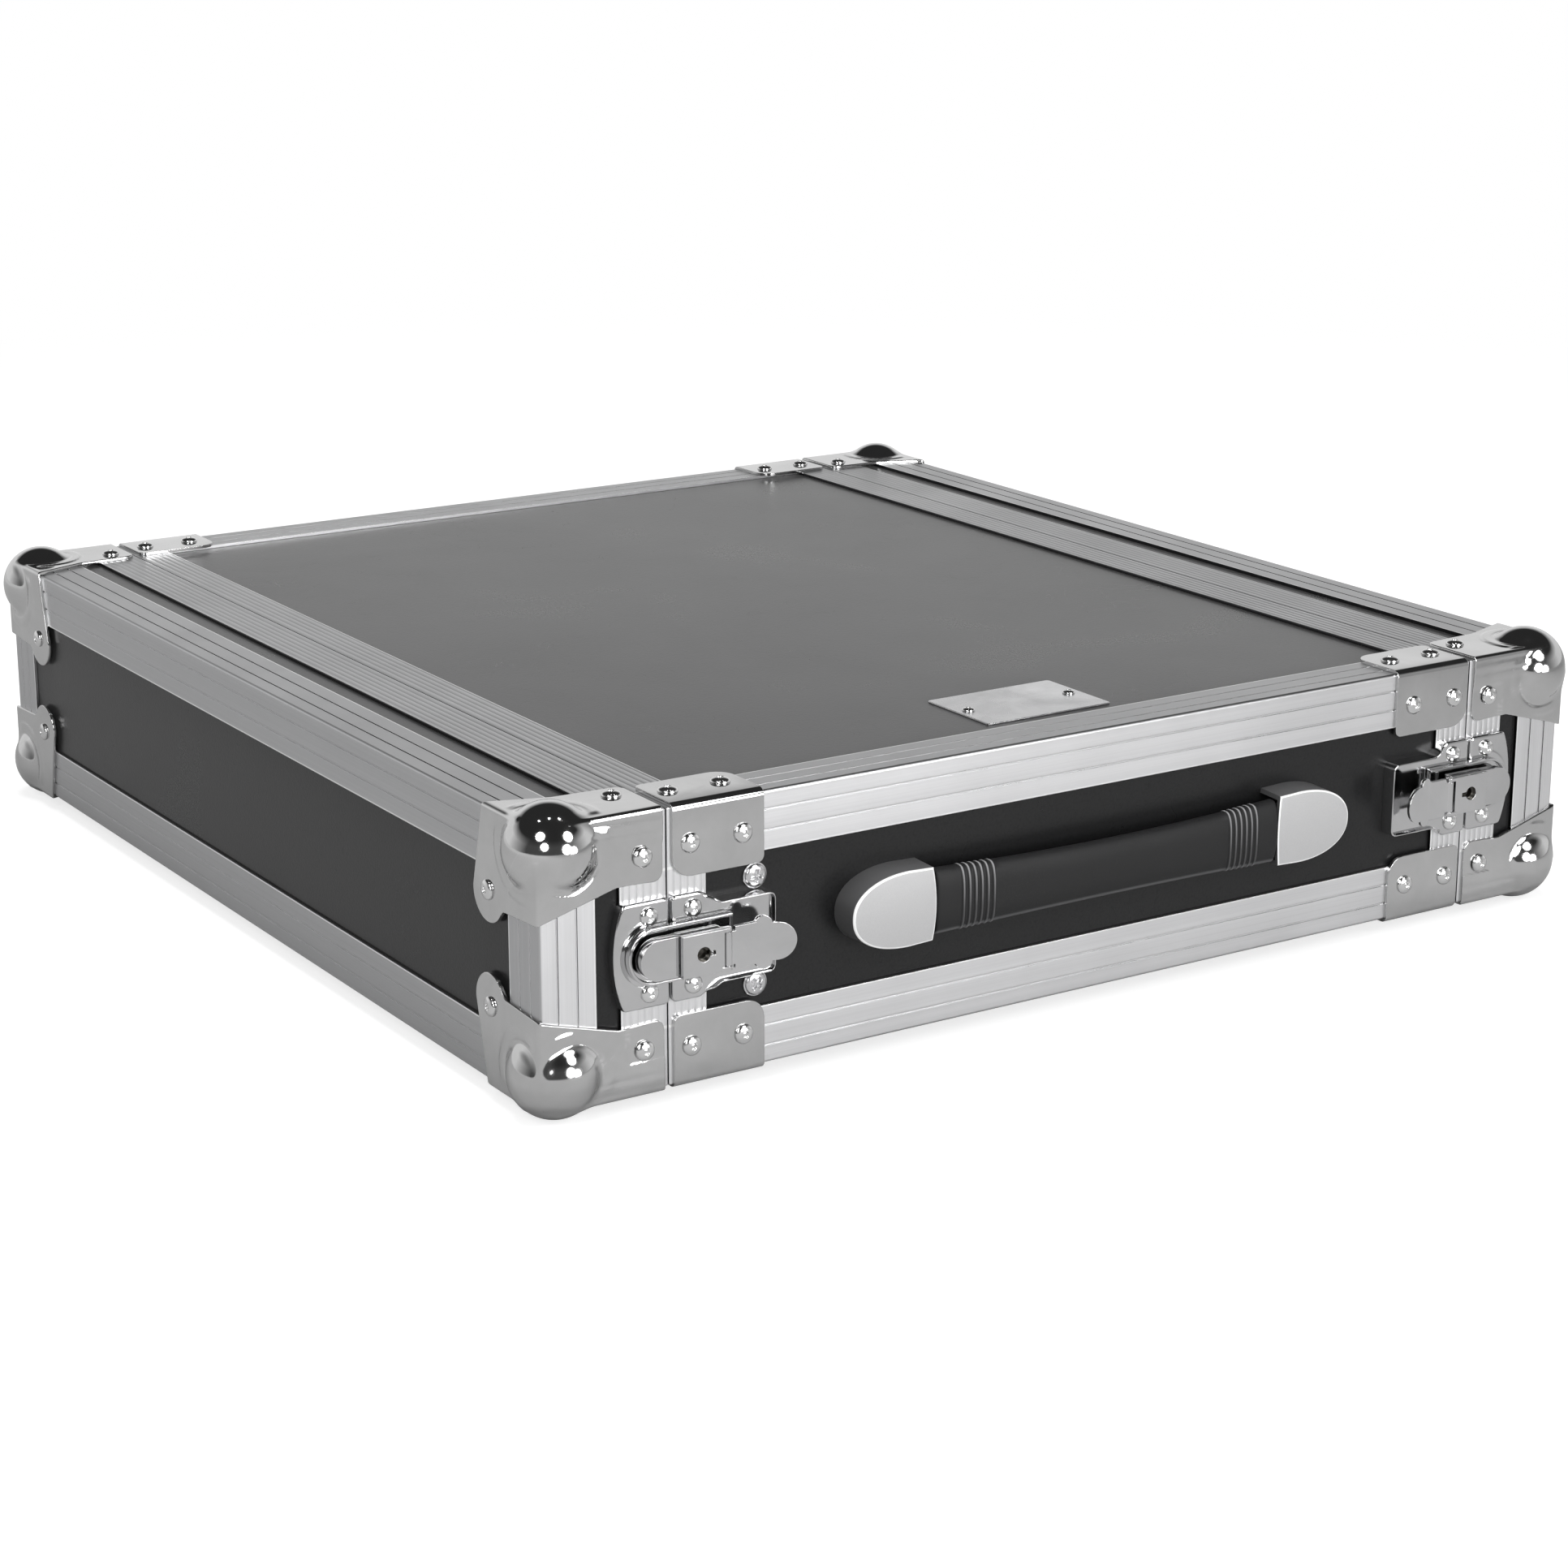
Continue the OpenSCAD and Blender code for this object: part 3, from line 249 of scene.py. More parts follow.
def nearLine(value, line, width):
    # 1 where a coordinate's size, either way from the middle, is within the width of the line
    away = calc("ABSOLUTE", minus(calc("ABSOLUTE", value), line))
    return minus(1.0, calc("DIVIDE", away, width), clamp=True)


def panelEdges(place, width):
    # 1 in a narrow band where a panel goes in under a profile
    x, y, z = xyz(place)
    faceX, faceY, faceZ = facesOf(place.id_data)
    band = larger(times(nearLine(x, panelEdge["x"], width), larger(faceY, faceZ)),
                  times(nearLine(minus(z, case["midZ"]), panelEdge["z"], width), larger(faceX, faceY)))
    for line in panelEdge["y"]:
        band = larger(band, times(nearLine(y, line, width), larger(faceX, faceZ)))
    return band


# the film's colours: its own, darker in the pebbles' valleys as painted shade, paler with dust, and near
# black as the painted shadow along the profiles, whose width is given too
laminate = {"colour": (0.009, 0.009, 0.0094), "valleyShade": (0.006, 0.006, 0.0065), "haze": (0.03, 0.03, 0.031),
            "paintedShadow": (0.001, 0.001, 0.001), "roughness": (0.265, 0.305), "cells": 950.0, "bump": 0.13,
            "shadow": 0.0009, "mottle": 620.0, "smear": 9.0, "gloss": 0.4, "sheen": 0.2}


def laminateMaterial():
    # dark film with fine pebbles, its valleys darker as painted shade, dust in its smears, and a painted
    # shadow along the profiles
    c = laminate
    material, tree, shader, place = startMaterial("laminate", IOR=1.45, Specular_IOR_Level=c["gloss"],
                                                  Sheen_Weight=c["sheen"], Sheen_Roughness=0.3)
    film = useGroup(tree, pebbledFilm, {"Place": place, "Cells": c["cells"]})
    marks = marksOn(place, c["smear"])
    # the valleys between the pebbles darker: painted shade
    base = blendColour(film["Valley"], c["colour"], c["valleyShade"])
    base = blendColour(times(marks["Dust"], 0.5), base, c["haze"])
    # painted shadow: a near black band where the panel goes in under a profile, rougher too
    paintedShadow = remap(panelEdges(place, c["shadow"]), 0.1, 0.5)
    spots = noise(place, c["mottle"], 2.0)
    rough = remap(plus(times(marks["Smear"], 0.6), times(spots, 0.4)), 0.1, 0.9, *c["roughness"])
    rough = plus(minus(rough, times(marks["Scratch"], 0.06)), times(paintedShadow, 0.6))
    finishMaterial(shader, blendColour(paintedShadow, base, c["paintedShadow"]), rough, film["Height"], c["bump"], 0.0002)
    return material


# the grain's two colours; a paler colour for faces that look along X, as painted light; a painted edge
# highlight; near black for painted shade on sawn faces along the case; and a painted highlight along the edge
# next to the panel
aluminium = {"colour": (0.56, 0.562, 0.57), "dull": (0.51, 0.512, 0.52), "paintedEdgeHighlight": (0.95, 0.95, 0.96),
             "cut": (0.05, 0.05, 0.052), "roughness": (0.29, 0.37), "pitch": 1500.0, "along": 0.0015,
             "bump": 0.16, "edge": 0.0004, "side": (0.80, 0.80, 0.81), "lip": 0.0009,
             "lipHighlight": (0.98, 0.98, 0.98), "sawnFrom": 0.004, "smear": 16.0}


def aluminiumMaterial(name, along):
    # along is 0, 1 or 2 for lengths along X, Y or Z; "ring" turns from X to Z at the mitres
    c = aluminium
    material, tree, shader, place = startMaterial(name, Metallic=1.0)

    def lines(axis):
        stretch = [1.0, 1.0, 1.0]
        stretch[axis] = c["along"]
        return useGroup(tree, drawnLines, {"Place": place, "Pitch": c["pitch"], "Stretch": stretch})

    if along == "ring":
        x, y, z = xyz(place)
        fromSide = minus(case["halfW"], calc("ABSOLUTE", x))
        fromTop = minus(case["halfH"], calc("ABSOLUTE", minus(z, case["midZ"])))
        upright = calc("LESS_THAN", fromSide, fromTop)
        level, tall = lines(0), lines(2)
        shade = plus(times(upright, tall["Shade"]), times(minus(1.0, upright), level["Shade"]))
        height = shade
    else:
        drawn = lines(along)
        shade, height = drawn["Shade"], drawn["Height"]
    marks = marksOn(place, c["smear"], 0.004)
    edge = useGroup(tree, edgeWearAndHighlight, {"Radius": c["edge"]})
    facing = facesOf(tree)
    grain = remap(shade, 0.35, 0.65)
    base = blendColour(grain, c["dull"], c["colour"])
    # faces that look along X take the paler side colour: painted light, the case's sides shown brighter than
    # its top and front
    base = blendColour(facing[0], base, blendColour(grain, shaded(c["side"], 0.92), c["side"]))
    # a painted highlight on the edges, where the surface turns
    base = blendColour(times(edge["Edge"], 0.3), base, c["paintedEdgeHighlight"])
    # a painted highlight along the profile's edge next to the panel
    base = blendColour(remap(panelEdges(place, c["lip"]), 0.1, 0.6), base, c["lipHighlight"])
    if along == "ring":
        # sawn edges that face along the case, between its ends, are near black: painted shade of the step to
        # the panel
        inside = calc("LESS_THAN", calc("ABSOLUTE", y), case["halfD"] - c["sawnFrom"])
        base = blendColour(times(facing[1], inside), base, c["cut"])
    rough = remap(plus(times(shade, 0.6), times(marks["Smear"], 0.4)), 0.2, 0.8, *c["roughness"])
    rough = minus(rough, times(edge["Edge"], 0.05))
    finishMaterial(shader, base, rough, height, c["bump"], 0.0001, edge["Normal"])
    return material


def platedMaterial(name, colour, roughness, size=30.0):
    # plated or polished metal: faint smears and scratches in the polish, and a painted highlight, paler
    # colour on its edges
    material, tree, shader, place = startMaterial(name, Metallic=1.0)
    marks = marksOn(place, size)
    rim = useGroup(tree, edgeWearAndHighlight, {"Radius": 0.0004})
    base = blendColour(marks["Smear"], colour, shaded(colour, 0.86))
    # painted highlight: paler colour where the surface turns
    base = blendColour(times(rim["Edge"], 0.6), base, shaded(colour, 1.3))
    rough = plus(remap(marks["Smear"], 0.0, 1.0, *roughness), times(marks["Scratch"], 0.12))
    height = minus(noise(place, 240.0, 2.0), times(marks["Scratch"], 0.4))
    finishMaterial(shader, base, rough, height, 0.03, 0.0003, rim["Normal"])
    return material


def coatMaterial(name, colour, roughness, grain, bump):
    # powder coat or foam: a fine even grain, dust, and edges rubbed paler
    material, tree, shader, place = startMaterial(name)
    marks = marksOn(place, 22.0)
    rim = useGroup(tree, edgeWearAndHighlight, {"Radius": 0.0005})
    spots, base = grained(place, grain, colour, 0.85)
    base = blendColour(times(marks["Dust"], 0.35), base, shaded(colour, 1.0, 0.05))
    base = blendColour(times(rim["Edge"], 0.5), base, shaded(colour, 1.3))
    rough = remap(marks["Smear"], 0.0, 1.0, *roughness)
    finishMaterial(shader, base, rough, spots, bump, 0.0002, rim["Normal"])
    return material


# the face's silver, the wall's darker grey as painted shade, and the near white of the rim as a painted
# highlight
capPaint = {"face": (0.50, 0.50, 0.505), "wall": (0.12, 0.12, 0.122), "rim": (0.95, 0.95, 0.95),
            "metallic": 0.45, "roughness": (0.38, 0.47), "grain": 2400.0}


def capMaterial():
    # painted cap: a silver face, a painted highlight as a pale line where it turns down, and painted shade as
    # a darker grey on its wall
    c = capPaint
    material, tree, shader, place = startMaterial("cap_grey", Metallic=c["metallic"])
    marks = marksOn(place, 22.0)
    outwards = calc("ABSOLUTE", xyz(put(tree, "NewGeometry").outputs["Normal"])[0])
    spots, face = grained(place, c["grain"], c["face"], 0.93)
    face = blendColour(times(marks["Smear"], 0.25), face, shaded(c["face"], 0.8))
    # painted shade: the wall, which does not face along X, in darker grey
    base = blendColour(remap(outwards, 0.25, 0.6), c["wall"], face)
    # painted highlight: a near white line where the face turns down
    base = blendColour(times(remap(outwards, 0.3, 0.5), remap(outwards, 0.997, 0.97)), base, c["rim"])
    finishMaterial(shader, base, remap(marks["Smear"], 0.0, 1.0, *c["roughness"]), spots, 0.05, 0.0002)
    return material


# the rubber's colour; painted highlights on the ribs' crests and along the lower rounding; dust
gripRubber = {"colour": (0.009, 0.009, 0.0095), "crestHighlight": (0.22, 0.22, 0.225), "line": (0.07, 0.07, 0.072),
              "dust": (0.05, 0.05, 0.05), "roughness": (0.5, 0.62), "grain": 1700.0,
              "firstRib": 0.0738, "ribPitch": 0.00285, "ribs": 6}


def gripMaterial():
    # matt rubber with a fine grain; painted highlights: the crests of its ribs pale, more so towards the top,
    # and a pale line along the lower rounding
    c = gripRubber
    material, tree, shader, place = startMaterial("grip_rubber", IOR=1.38)
    marks = marksOn(place, 22.0)
    spots, base = grained(place, c["grain"], c["colour"], 0.85)
    y, z = xyz(place)[1:]
    steps = calc("DIVIDE", minus(c["firstRib"], calc("ABSOLUTE", y)), c["ribPitch"])
    near = calc("ABSOLUTE", minus(steps, calc("ROUND", steps)))
    inBand = times(calc("GREATER_THAN", steps, -0.5), calc("LESS_THAN", steps, c["ribs"] - 0.5))
    # painted highlight on the ribs' crests, paler towards the top
    crestHighlight = times(times(remap(near, 0.2, 0.06), inBand),
                  remap(minus(z, case["midZ"]), -0.004, 0.012, 0.22, 1.0))
    upwards = xyz(put(tree, "NewGeometry").outputs["Normal"])[2]
    # painted highlight: a pale line along the grip's lower rounding
    line = times(remap(upwards, -0.35, -0.5), remap(upwards, -0.85, -0.7))
    base = blendColour(times(marks["Dust"], 0.35), base, c["dust"])
    base = blendColour(crestHighlight, blendColour(line, base, c["line"]), c["crestHighlight"])
    finishMaterial(shader, base, remap(marks["Smear"], 0.0, 1.0, *c["roughness"]), spots, 0.15, 0.0002)
    return material


finishes = {
    "laminate": laminateMaterial(),
    "profile_y": aluminiumMaterial("profile_y", 1),
    "profile_ring": aluminiumMaterial("profile_ring", "ring"),
    "cap_grey": capMaterial(),
    "grip_rubber": gripMaterial(),
    "rail_steel": coatMaterial("rail_steel", (0.03, 0.03, 0.032), (0.4, 0.5), 1400.0, 0.15),
    "foam": coatMaterial("foam", (0.03, 0.03, 0.031), (0.85, 0.95), 1100.0, 0.5),
}
# each plated or bare metal: colour, roughness from clean to smeared, and the smears' size; the lock is near
# black as painted shade deep in its keyhole
for name, colour, roughness, size in (("corner_steel", (0.66, 0.66, 0.66), (0.05, 0.11), 30.0),
                                      ("latch_steel", (0.70, 0.70, 0.705), (0.06, 0.13), 30.0),
                                      ("rivet_steel", (0.82, 0.82, 0.82), (0.12, 0.2), 60.0),
                                      ("screw_steel", (0.74, 0.74, 0.75), (0.16, 0.26), 60.0),
                                      ("strap_steel", (0.5, 0.5, 0.52), (0.28, 0.4), 30.0),
                                      ("plate_aluminium", (0.78, 0.78, 0.79), (0.2, 0.3), 30.0),
                                      ("lock_brass", (0.10, 0.095, 0.085), (0.26, 0.36), 30.0)):
    finishes[name] = platedMaterial(name, colour, roughness, size)
print("materials:", len(finishes))

# the end of a node's name, and its finish
nodeFinish = {
    "_panel": "laminate", "lid_face": "laminate", "lid_walls": "laminate",
    "_profile": "profile_y", "lid_frame": "profile_ring", "_rim": "profile_ring",
    "braces": "corner_steel", "ball_corners": "corner_steel", "keepers": "latch_steel",
    "latch_base": "latch_steel", "_turn": "latch_steel", "_wing": "latch_steel", "_claw": "latch_steel",
    "_lock": "lock_brass", "rivets": "rivet_steel", "screws": "screw_steel", "rack_rail": "rail_steel",
    "name_plate": "plate_aluminium", "handle_caps": "cap_grey", "handle_grip": "grip_rubber",
    "handle_strap": "strap_steel", "lid_foam": "foam",
}


def finishNameOf(name):
    return next(value for key, value in nodeFinish.items() if name.endswith(key))


for name, node in frame["nodes"].items():
    for place in node.material_slots:
        place.material = finishes[finishNameOf(name)]


def smoothMax(a, b, soft):
    # the larger of two numbers, with the corner between them rounded over the width soft
    mix = np.clip(0.5 + 0.5 * (a - b) / soft, 0, 1)
    return b + (a - b) * mix + soft * mix * (1 - mix)


def ease(x, start, end):
    # rises from 0 at start to 1 at end along a smooth S
    t = np.clip((x - start) / (end - start), 0, 1)
    return t * t * (3 - 2 * t)


def band(x, start, full, fade, end):
    # 0, then 1 from full to fade, then 0 again
    return ease(x, start, full) * (1 - ease(x, fade, end))


def loopFaces(rows, columns, wrapRows=False):
    # quads between neighbouring rings of points; every ring is closed
    r = np.arange(rows if wrapRows else rows - 1)
    c = np.arange(columns)
    a = (r[:, None] * columns + c).ravel()
    b = (r[:, None] * columns + (c + 1) % columns).ravel()
    up = ((r[:, None] + 1) % rows * columns + (c + 1) % columns).ravel()
    left = ((r[:, None] + 1) % rows * columns + c).ravel()
    return np.stack([a, b, up, left], 1)


def closedRings(rings, firstPole, lastPole):
    # rings of points with quads between them, and triangles from the first and last ring to a pole each
    rows, columns = rings.shape[:2]
    count = rows * columns
    c, pole = np.arange(columns), np.full(columns, count)
    first = np.stack([(c + 1) % columns, c, pole], 1)
    last = np.stack([pole + 1, count - columns + c, count - columns + (c + 1) % columns], 1)
    return (np.concatenate([rings.reshape(-1, 3), [firstPole, lastPole]]),
            [loopFaces(rows, columns), np.concatenate([first, last])])


def outward(points, faces):
    # turns a closed part's faces so that its volume, summed as wedges from the origin, is positive
    volume = 0.0
    for group in faces:
        for k in range(1, group.shape[1] - 1):
            a, b, c = points[group[:, 0]], points[group[:, k]], points[group[:, k + 1]]
            volume += np.einsum("ij,ij->i", a, np.cross(b, c)).sum()
    return [group[:, ::-1] for group in faces] if volume < 0 else faces


def newObject(name, data):
    thing = bpy.data.objects.new(name, data)
    bpy.context.scene.collection.objects.link(thing)
    return thing


def makePiece(name, parts, finish, body, replaced, sharp=40):
    # one object from closed parts: each part is (points in metres, [index arrays of its faces])
    allPoints, allFaces, start = [], [], 0
    for points, faces in parts:
        points = np.asarray(points, float)
        for group in outward(points - points.mean(0), faces):
            allFaces += (group + start).tolist()
        allPoints.append(points)
        start += len(points)
    mesh = bpy.data.meshes.new(name)
    mesh.from_pydata(np.concatenate(allPoints).tolist(), [], allFaces)
    mesh.validate()
    mesh.shade_smooth()
    mesh.set_sharp_from_angle(angle=np.radians(sharp))
    mesh.materials.append(finishes[finish])
    return settle(newObject(name, mesh), body, replaced)


def settle(piece, body, replaced):
    # what the frame has to know of a piece
    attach(piece, body)
    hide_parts(replaced)
    return piece


def fromVertex(points, sx, sy, sz):
    # points in millimetres inwards from a vertex of the case, put at one of its eight vertices
    sign = np.array([sx, sy, sz])
    corner = np.array([case["halfW"], case["halfD"], case["halfH"]])
    return sign * (corner - points * mm) + [0, 0, case["midZ"]]


def fromLatch(points, sx, sy):
    # points in millimetres from a latch: outwards, from the split onto the body, and up
    return np.stack([sx * (case["halfW"] + points[:, 0] * mm), sy * (case["splitY"] - points[:, 1] * mm),
                     points[:, 2] * mm + case["midZ"]], 1)


def fromHandle(points, sx, sy):
    # points in millimetres from a handle: outwards, along the case, and up
    return np.stack([sx * (case["halfW"] + points[:, 0] * mm), sy * points[:, 1] * mm,
                     points[:, 2] * mm + case["midZ"]], 1)


def roundedPath(corners, steps=7):
    # an open path through corners (u, v, radius); each inner corner is an arc tangent to its two sides
    path = [np.array(corners[0][:2], float)]
    for (au, av, _), (pu, pv, radius), (bu, bv, _) in zip(corners, corners[1:], corners[2:]):
        p = np.array([pu, pv], float)
        da, db = np.array([au, av]) - p, np.array([bu, bv]) - p
        da, db = da / np.linalg.norm(da), db / np.linalg.norm(db)
        half = np.arccos(np.clip(da @ db, -1, 1)) / 2
        if radius <= 0 or half > 1.55:
            path.append(p)
            continue
        centre = p + (da + db) / np.linalg.norm(da + db) * radius / np.sin(half)
        first, last = p + da * radius / np.tan(half) - centre, p + db * radius / np.tan(half) - centre
        turn = np.arctan2(first[0] * last[1] - first[1] * last[0], first @ last)
        angles = np.linspace(0, turn, steps)[:, None]
        path += list(centre + np.cos(angles) * first + np.sin(angles) * np.array([-first[1], first[0]]))
    path.append(np.array(corners[-1][:2], float))
    return np.array(path)


def alongPath(path, distances):
    # points of a path at the given distances from its start
    legs = np.linalg.norm(np.diff(path, axis=0), axis=1)
    reach = np.concatenate([[0], np.cumsum(legs)])
    return np.stack([np.interp(distances, reach, path[:, k]) for k in (0, 1)], 1)


ballCorner = {"ball": 18.0, "inset": 11.0, "sheet": 1.5, "alongX": 40.0, "alongY": 52.0, "alongZ": 36.0,
              "ear": (36.5, 33.0), "earR": 11.5, "neck": (25.0, 37.4), "bulge": (44.4, 18.0),
              "sideTaper": (32.24, 26.68), "sideEnd": 27.5, "topTaper": (31.27, 23.4), "topEnd": 29.5,
              "endR": 4.0, "blend": 2.4, "ridgeR": 1.7, "rimR": 0.5, "creaseR": 18.9, "crescentR": 14.4,
              "step": 1.3, "rows": 52, "innerRows": 12, "skin": 0.02, "thinBy": 4.0, "creaseDeep": 0.45,
              "crescentDeep": 0.55, "crescentW": 0.8, "ribHigh": 0.2, "pocketHigh": 0.45,
              "creaseFrom": (14.0, 15.5), "creaseSoft": 0.6, "clear": (2, 6), "crescentOn": (5, 30),
              "crescentOff": (70, 95), "ribFrom": (19, 24), "ribOne": (2.0, 3.0, 5.2, 6.0),
              "ribTwo": (6.2, 7.0, 9.0, 10.5), "pocketAlong": (35.0, 36.5), "pocketDown": (11.5, 13.0)}


def cornerOutline():
    # the three plates' outlines as one loop over the three ridges, with more points next to a ridge, and
    # the face that each point lies on: 0 side, 1 front, 2 top
    c = ballCorner
    low, r = -c["sheet"], c["endR"]
    endX, endY, endZ = c["alongX"], c["alongY"], c["alongZ"]
    around = np.radians(np.linspace(0, 145, 14))
    ear = [(c["ear"][0] + c["earR"] * np.cos(a), c["ear"][1] + c["earR"] * np.sin(a), 0) for a in around]
    paths = [
        # face, its two axes, and the outline's corners along them
        (1, (0, 2), [(endX, low, 0), (*c["bulge"], 6)] + ear + [(*c["neck"], 1.5), (low, endZ, 0)]),
        (0, (1, 2), [(low, endZ, 0), (*c["sideTaper"], r), (endY, c["sideEnd"], r), (endY, low, 0)]),
        (2, (0, 1), [(low, endY, 0), (c["topEnd"], endY, r), (*c["topTaper"], r), (endX, low, 0)]),
    ]
    near = np.array([0, 0.3, 0.6, 0.9, 1.25])
    loop, faces = [], []
    for face, (u, v), corners in paths:
        path = roundedPath(corners)
        length = np.linalg.norm(np.diff(path, axis=0), axis=1).sum()
        middle = np.linspace(2.4, length - 2.4, int(length / c["step"]))
        at = alongPath(path, np.concatenate([near, middle, length - near[:0:-1]]))
        points = np.full((len(at), 3), low)
        points[:, u], points[:, v] = at[:, 0], at[:, 1]
        loop.append(points)
        faces += [face] * len(at)
    return np.concatenate(loop), np.array(faces)


def cornerShell(loop, faces, share, level, ball):
    # Rays from the vertex to the outline, on the three planes at the given level, are seen from the ball's
    # centre: a point's distance becomes the larger of the ball's radius and its own distance, with a soft
    # turn between the two.
    c = ballCorner
    apex = np.full(3, -level)
    points = apex + share[..., None] * (loop - apex)
    ridge = c["ridgeR"] if level > 1 else 0.1
    out = points.copy()
    for axis in range(3):
        # the two faces that share a ridge along this axis
        one, two = [k for k in range(3) if k != axis]
        for face, other in ((one, two), (two, one)):
            away = points[..., other] + level
            bend = np.pi / 4 * (1 - np.clip(away / ridge, 0, 1))
            on = (faces == face) & (away < ridge)
            out[..., other] = np.where(on, -level + ridge * (1 - np.sin(bend)), out[..., other])
            out[..., face] = np.where(on, out[..., face] + ridge * (1 - np.cos(bend)), out[..., face])
    ray = out - c["inset"]
    reach = np.linalg.norm(ray, axis=-1)
    ray = ray / reach[..., None]
    # towards the vertex, where all three parts of a ray point back, only the ball counts
    counted = ease(ray.max(-1), -0.32, 0.05)
    radius = smoothMax(np.full_like(reach, ball), reach * counted, c["blend"])
    return c["inset"] + ray * radius[..., None]


def pressedLines(points, faces):
    # how far the sheet is pushed in: a crease round the ball, with a rounded ridge in its place on part of
    # the side plate, and there also ribs along the upper edge and the raised flat round the rivet
    c = ballCorner
    push = np.zeros(points.shape[:-1])
    for face, (u, v) in ((0, (1, 2)), (1, (0, 2)), (2, (0, 1))):
        du, dv = points[..., u] - c["inset"], points[..., v] - c["inset"]
        radius, turn = np.hypot(du, dv), np.degrees(np.arctan2(dv, du))
        inside = ease(points[..., u], *c["clear"]) * ease(points[..., v], *c["clear"])
        crease = c["creaseDeep"] * ease(radius, *c["creaseFrom"]) * (
            1 - ease(radius, c["creaseR"] - c["creaseSoft"], c["creaseR"] + c["creaseSoft"]))
        if face == 0:
            deep = ease(turn, *c["crescentOn"]) * (1 - ease(turn, *c["crescentOff"]))
            hump = np.exp(-((radius - c["crescentR"]) / c["crescentW"]) ** 2)
            crease = crease * (1 - deep) - c["crescentDeep"] * deep * hump
            along, down = points[..., u], points[..., v]
            rib = c["ribHigh"] * ease(along, *c["ribFrom"]) * (band(down, *c["ribOne"])
                                                               + 0.6 * band(down, *c["ribTwo"]))
            pocket = -c["pocketHigh"] * ease(along, *c["pocketAlong"]) * ease(down, *c["pocketDown"])
            crease = crease * inside + rib + pocket
            inside = 1.0
        push = np.where(faces == face, crease * inside, push)
    return push


def ballCorners():
    # the outer skin, its rim rolled in by a quarter circle, and the inner skin from the rim to the pole
    c = ballCorner
    loop, faces = cornerOutline()
    length = np.linalg.norm(loop + c["sheet"], axis=1)
    edge = c["rimR"] * np.array([1.0, 0.6, 0.25, 0.0])
    rows = np.linspace(0, 1, c["rows"] + 1)[1:, None] * (1 - 1.4 * c["rimR"] / length)
    share = np.concatenate([rows, 1 - edge[:, None] / length])
    outer = cornerShell(loop, faces, share, c["sheet"], c["ball"])
    push = pressedLines(outer, faces)
    fromRim = np.clip(c["rimR"] - length * (1 - share), 0, None)
    push -= c["rimR"] - np.sqrt(np.maximum(0, c["rimR"] ** 2 - fromRim ** 2))
    for face in range(3):
        outer[..., face] -= np.where(faces == face, push, 0)
    thin, near = c["skin"], c["thinBy"]
    inLoop = np.where(loop < near, -thin + (loop + c["sheet"]) * (near + thin) / (near + c["sheet"]), loop)
    inShare = np.broadcast_to(np.linspace(1, 0, c["innerRows"] + 1)[:-1, None], (c["innerRows"], len(loop)))
    inner = cornerShell(inLoop, faces, inShare, thin, c["ball"] - c["sheet"])
    tip = c["inset"] - c["ball"] / np.sqrt(3)
    inTip = c["inset"] - (c["ball"] - c["sheet"]) / np.sqrt(3)
    points, shell = closedRings(np.concatenate([outer, inner]), [tip] * 3, [inTip] * 3)
    for end, sy in ends:
        parts = [(fromVertex(points, sx, sy, sz), shell) for sx in (-1, 1) for sz in (-1, 1)]
        makePiece(end + "_corners", parts, "corner_steel", end + "_lid", end + "_ball_corners")


ballCorners()
print("ball corners made")


handle = {"half": 124.8, "capLength": 38.7, "capHalf": 15.5, "mouthHalf": 15.0, "capTop": 12.0,
          "capLow": -1.5, "capRound": 27.0, "capEdge": 1.1, "crown": 0.7, "draft": 0.5, "mouthBow": 1.3,
          "wall": 1.9, "capPower": 2.22, "gripHalf": 85.8, "neckLength": 5.4, "gripHigh": 27.0,
          "gripThick": 8.5, "gripLow": 3.6, "bow": 2.0, "waist": 3.6, "neckHigh": 22.0, "neckThick": 5.0,
          "neckTop": 9.3, "ribs": 6, "ribPitch": 2.85, "ribMargin": 12.0, "ribWidth": 0.95,
          "ribHeight": 0.55, "slotHigh": 18.6, "slotThick": 2.1, "slotMid": 7.85, "gripPower": 2.9,
          "slotPower": 24.0, "gripEdge": 1.2}


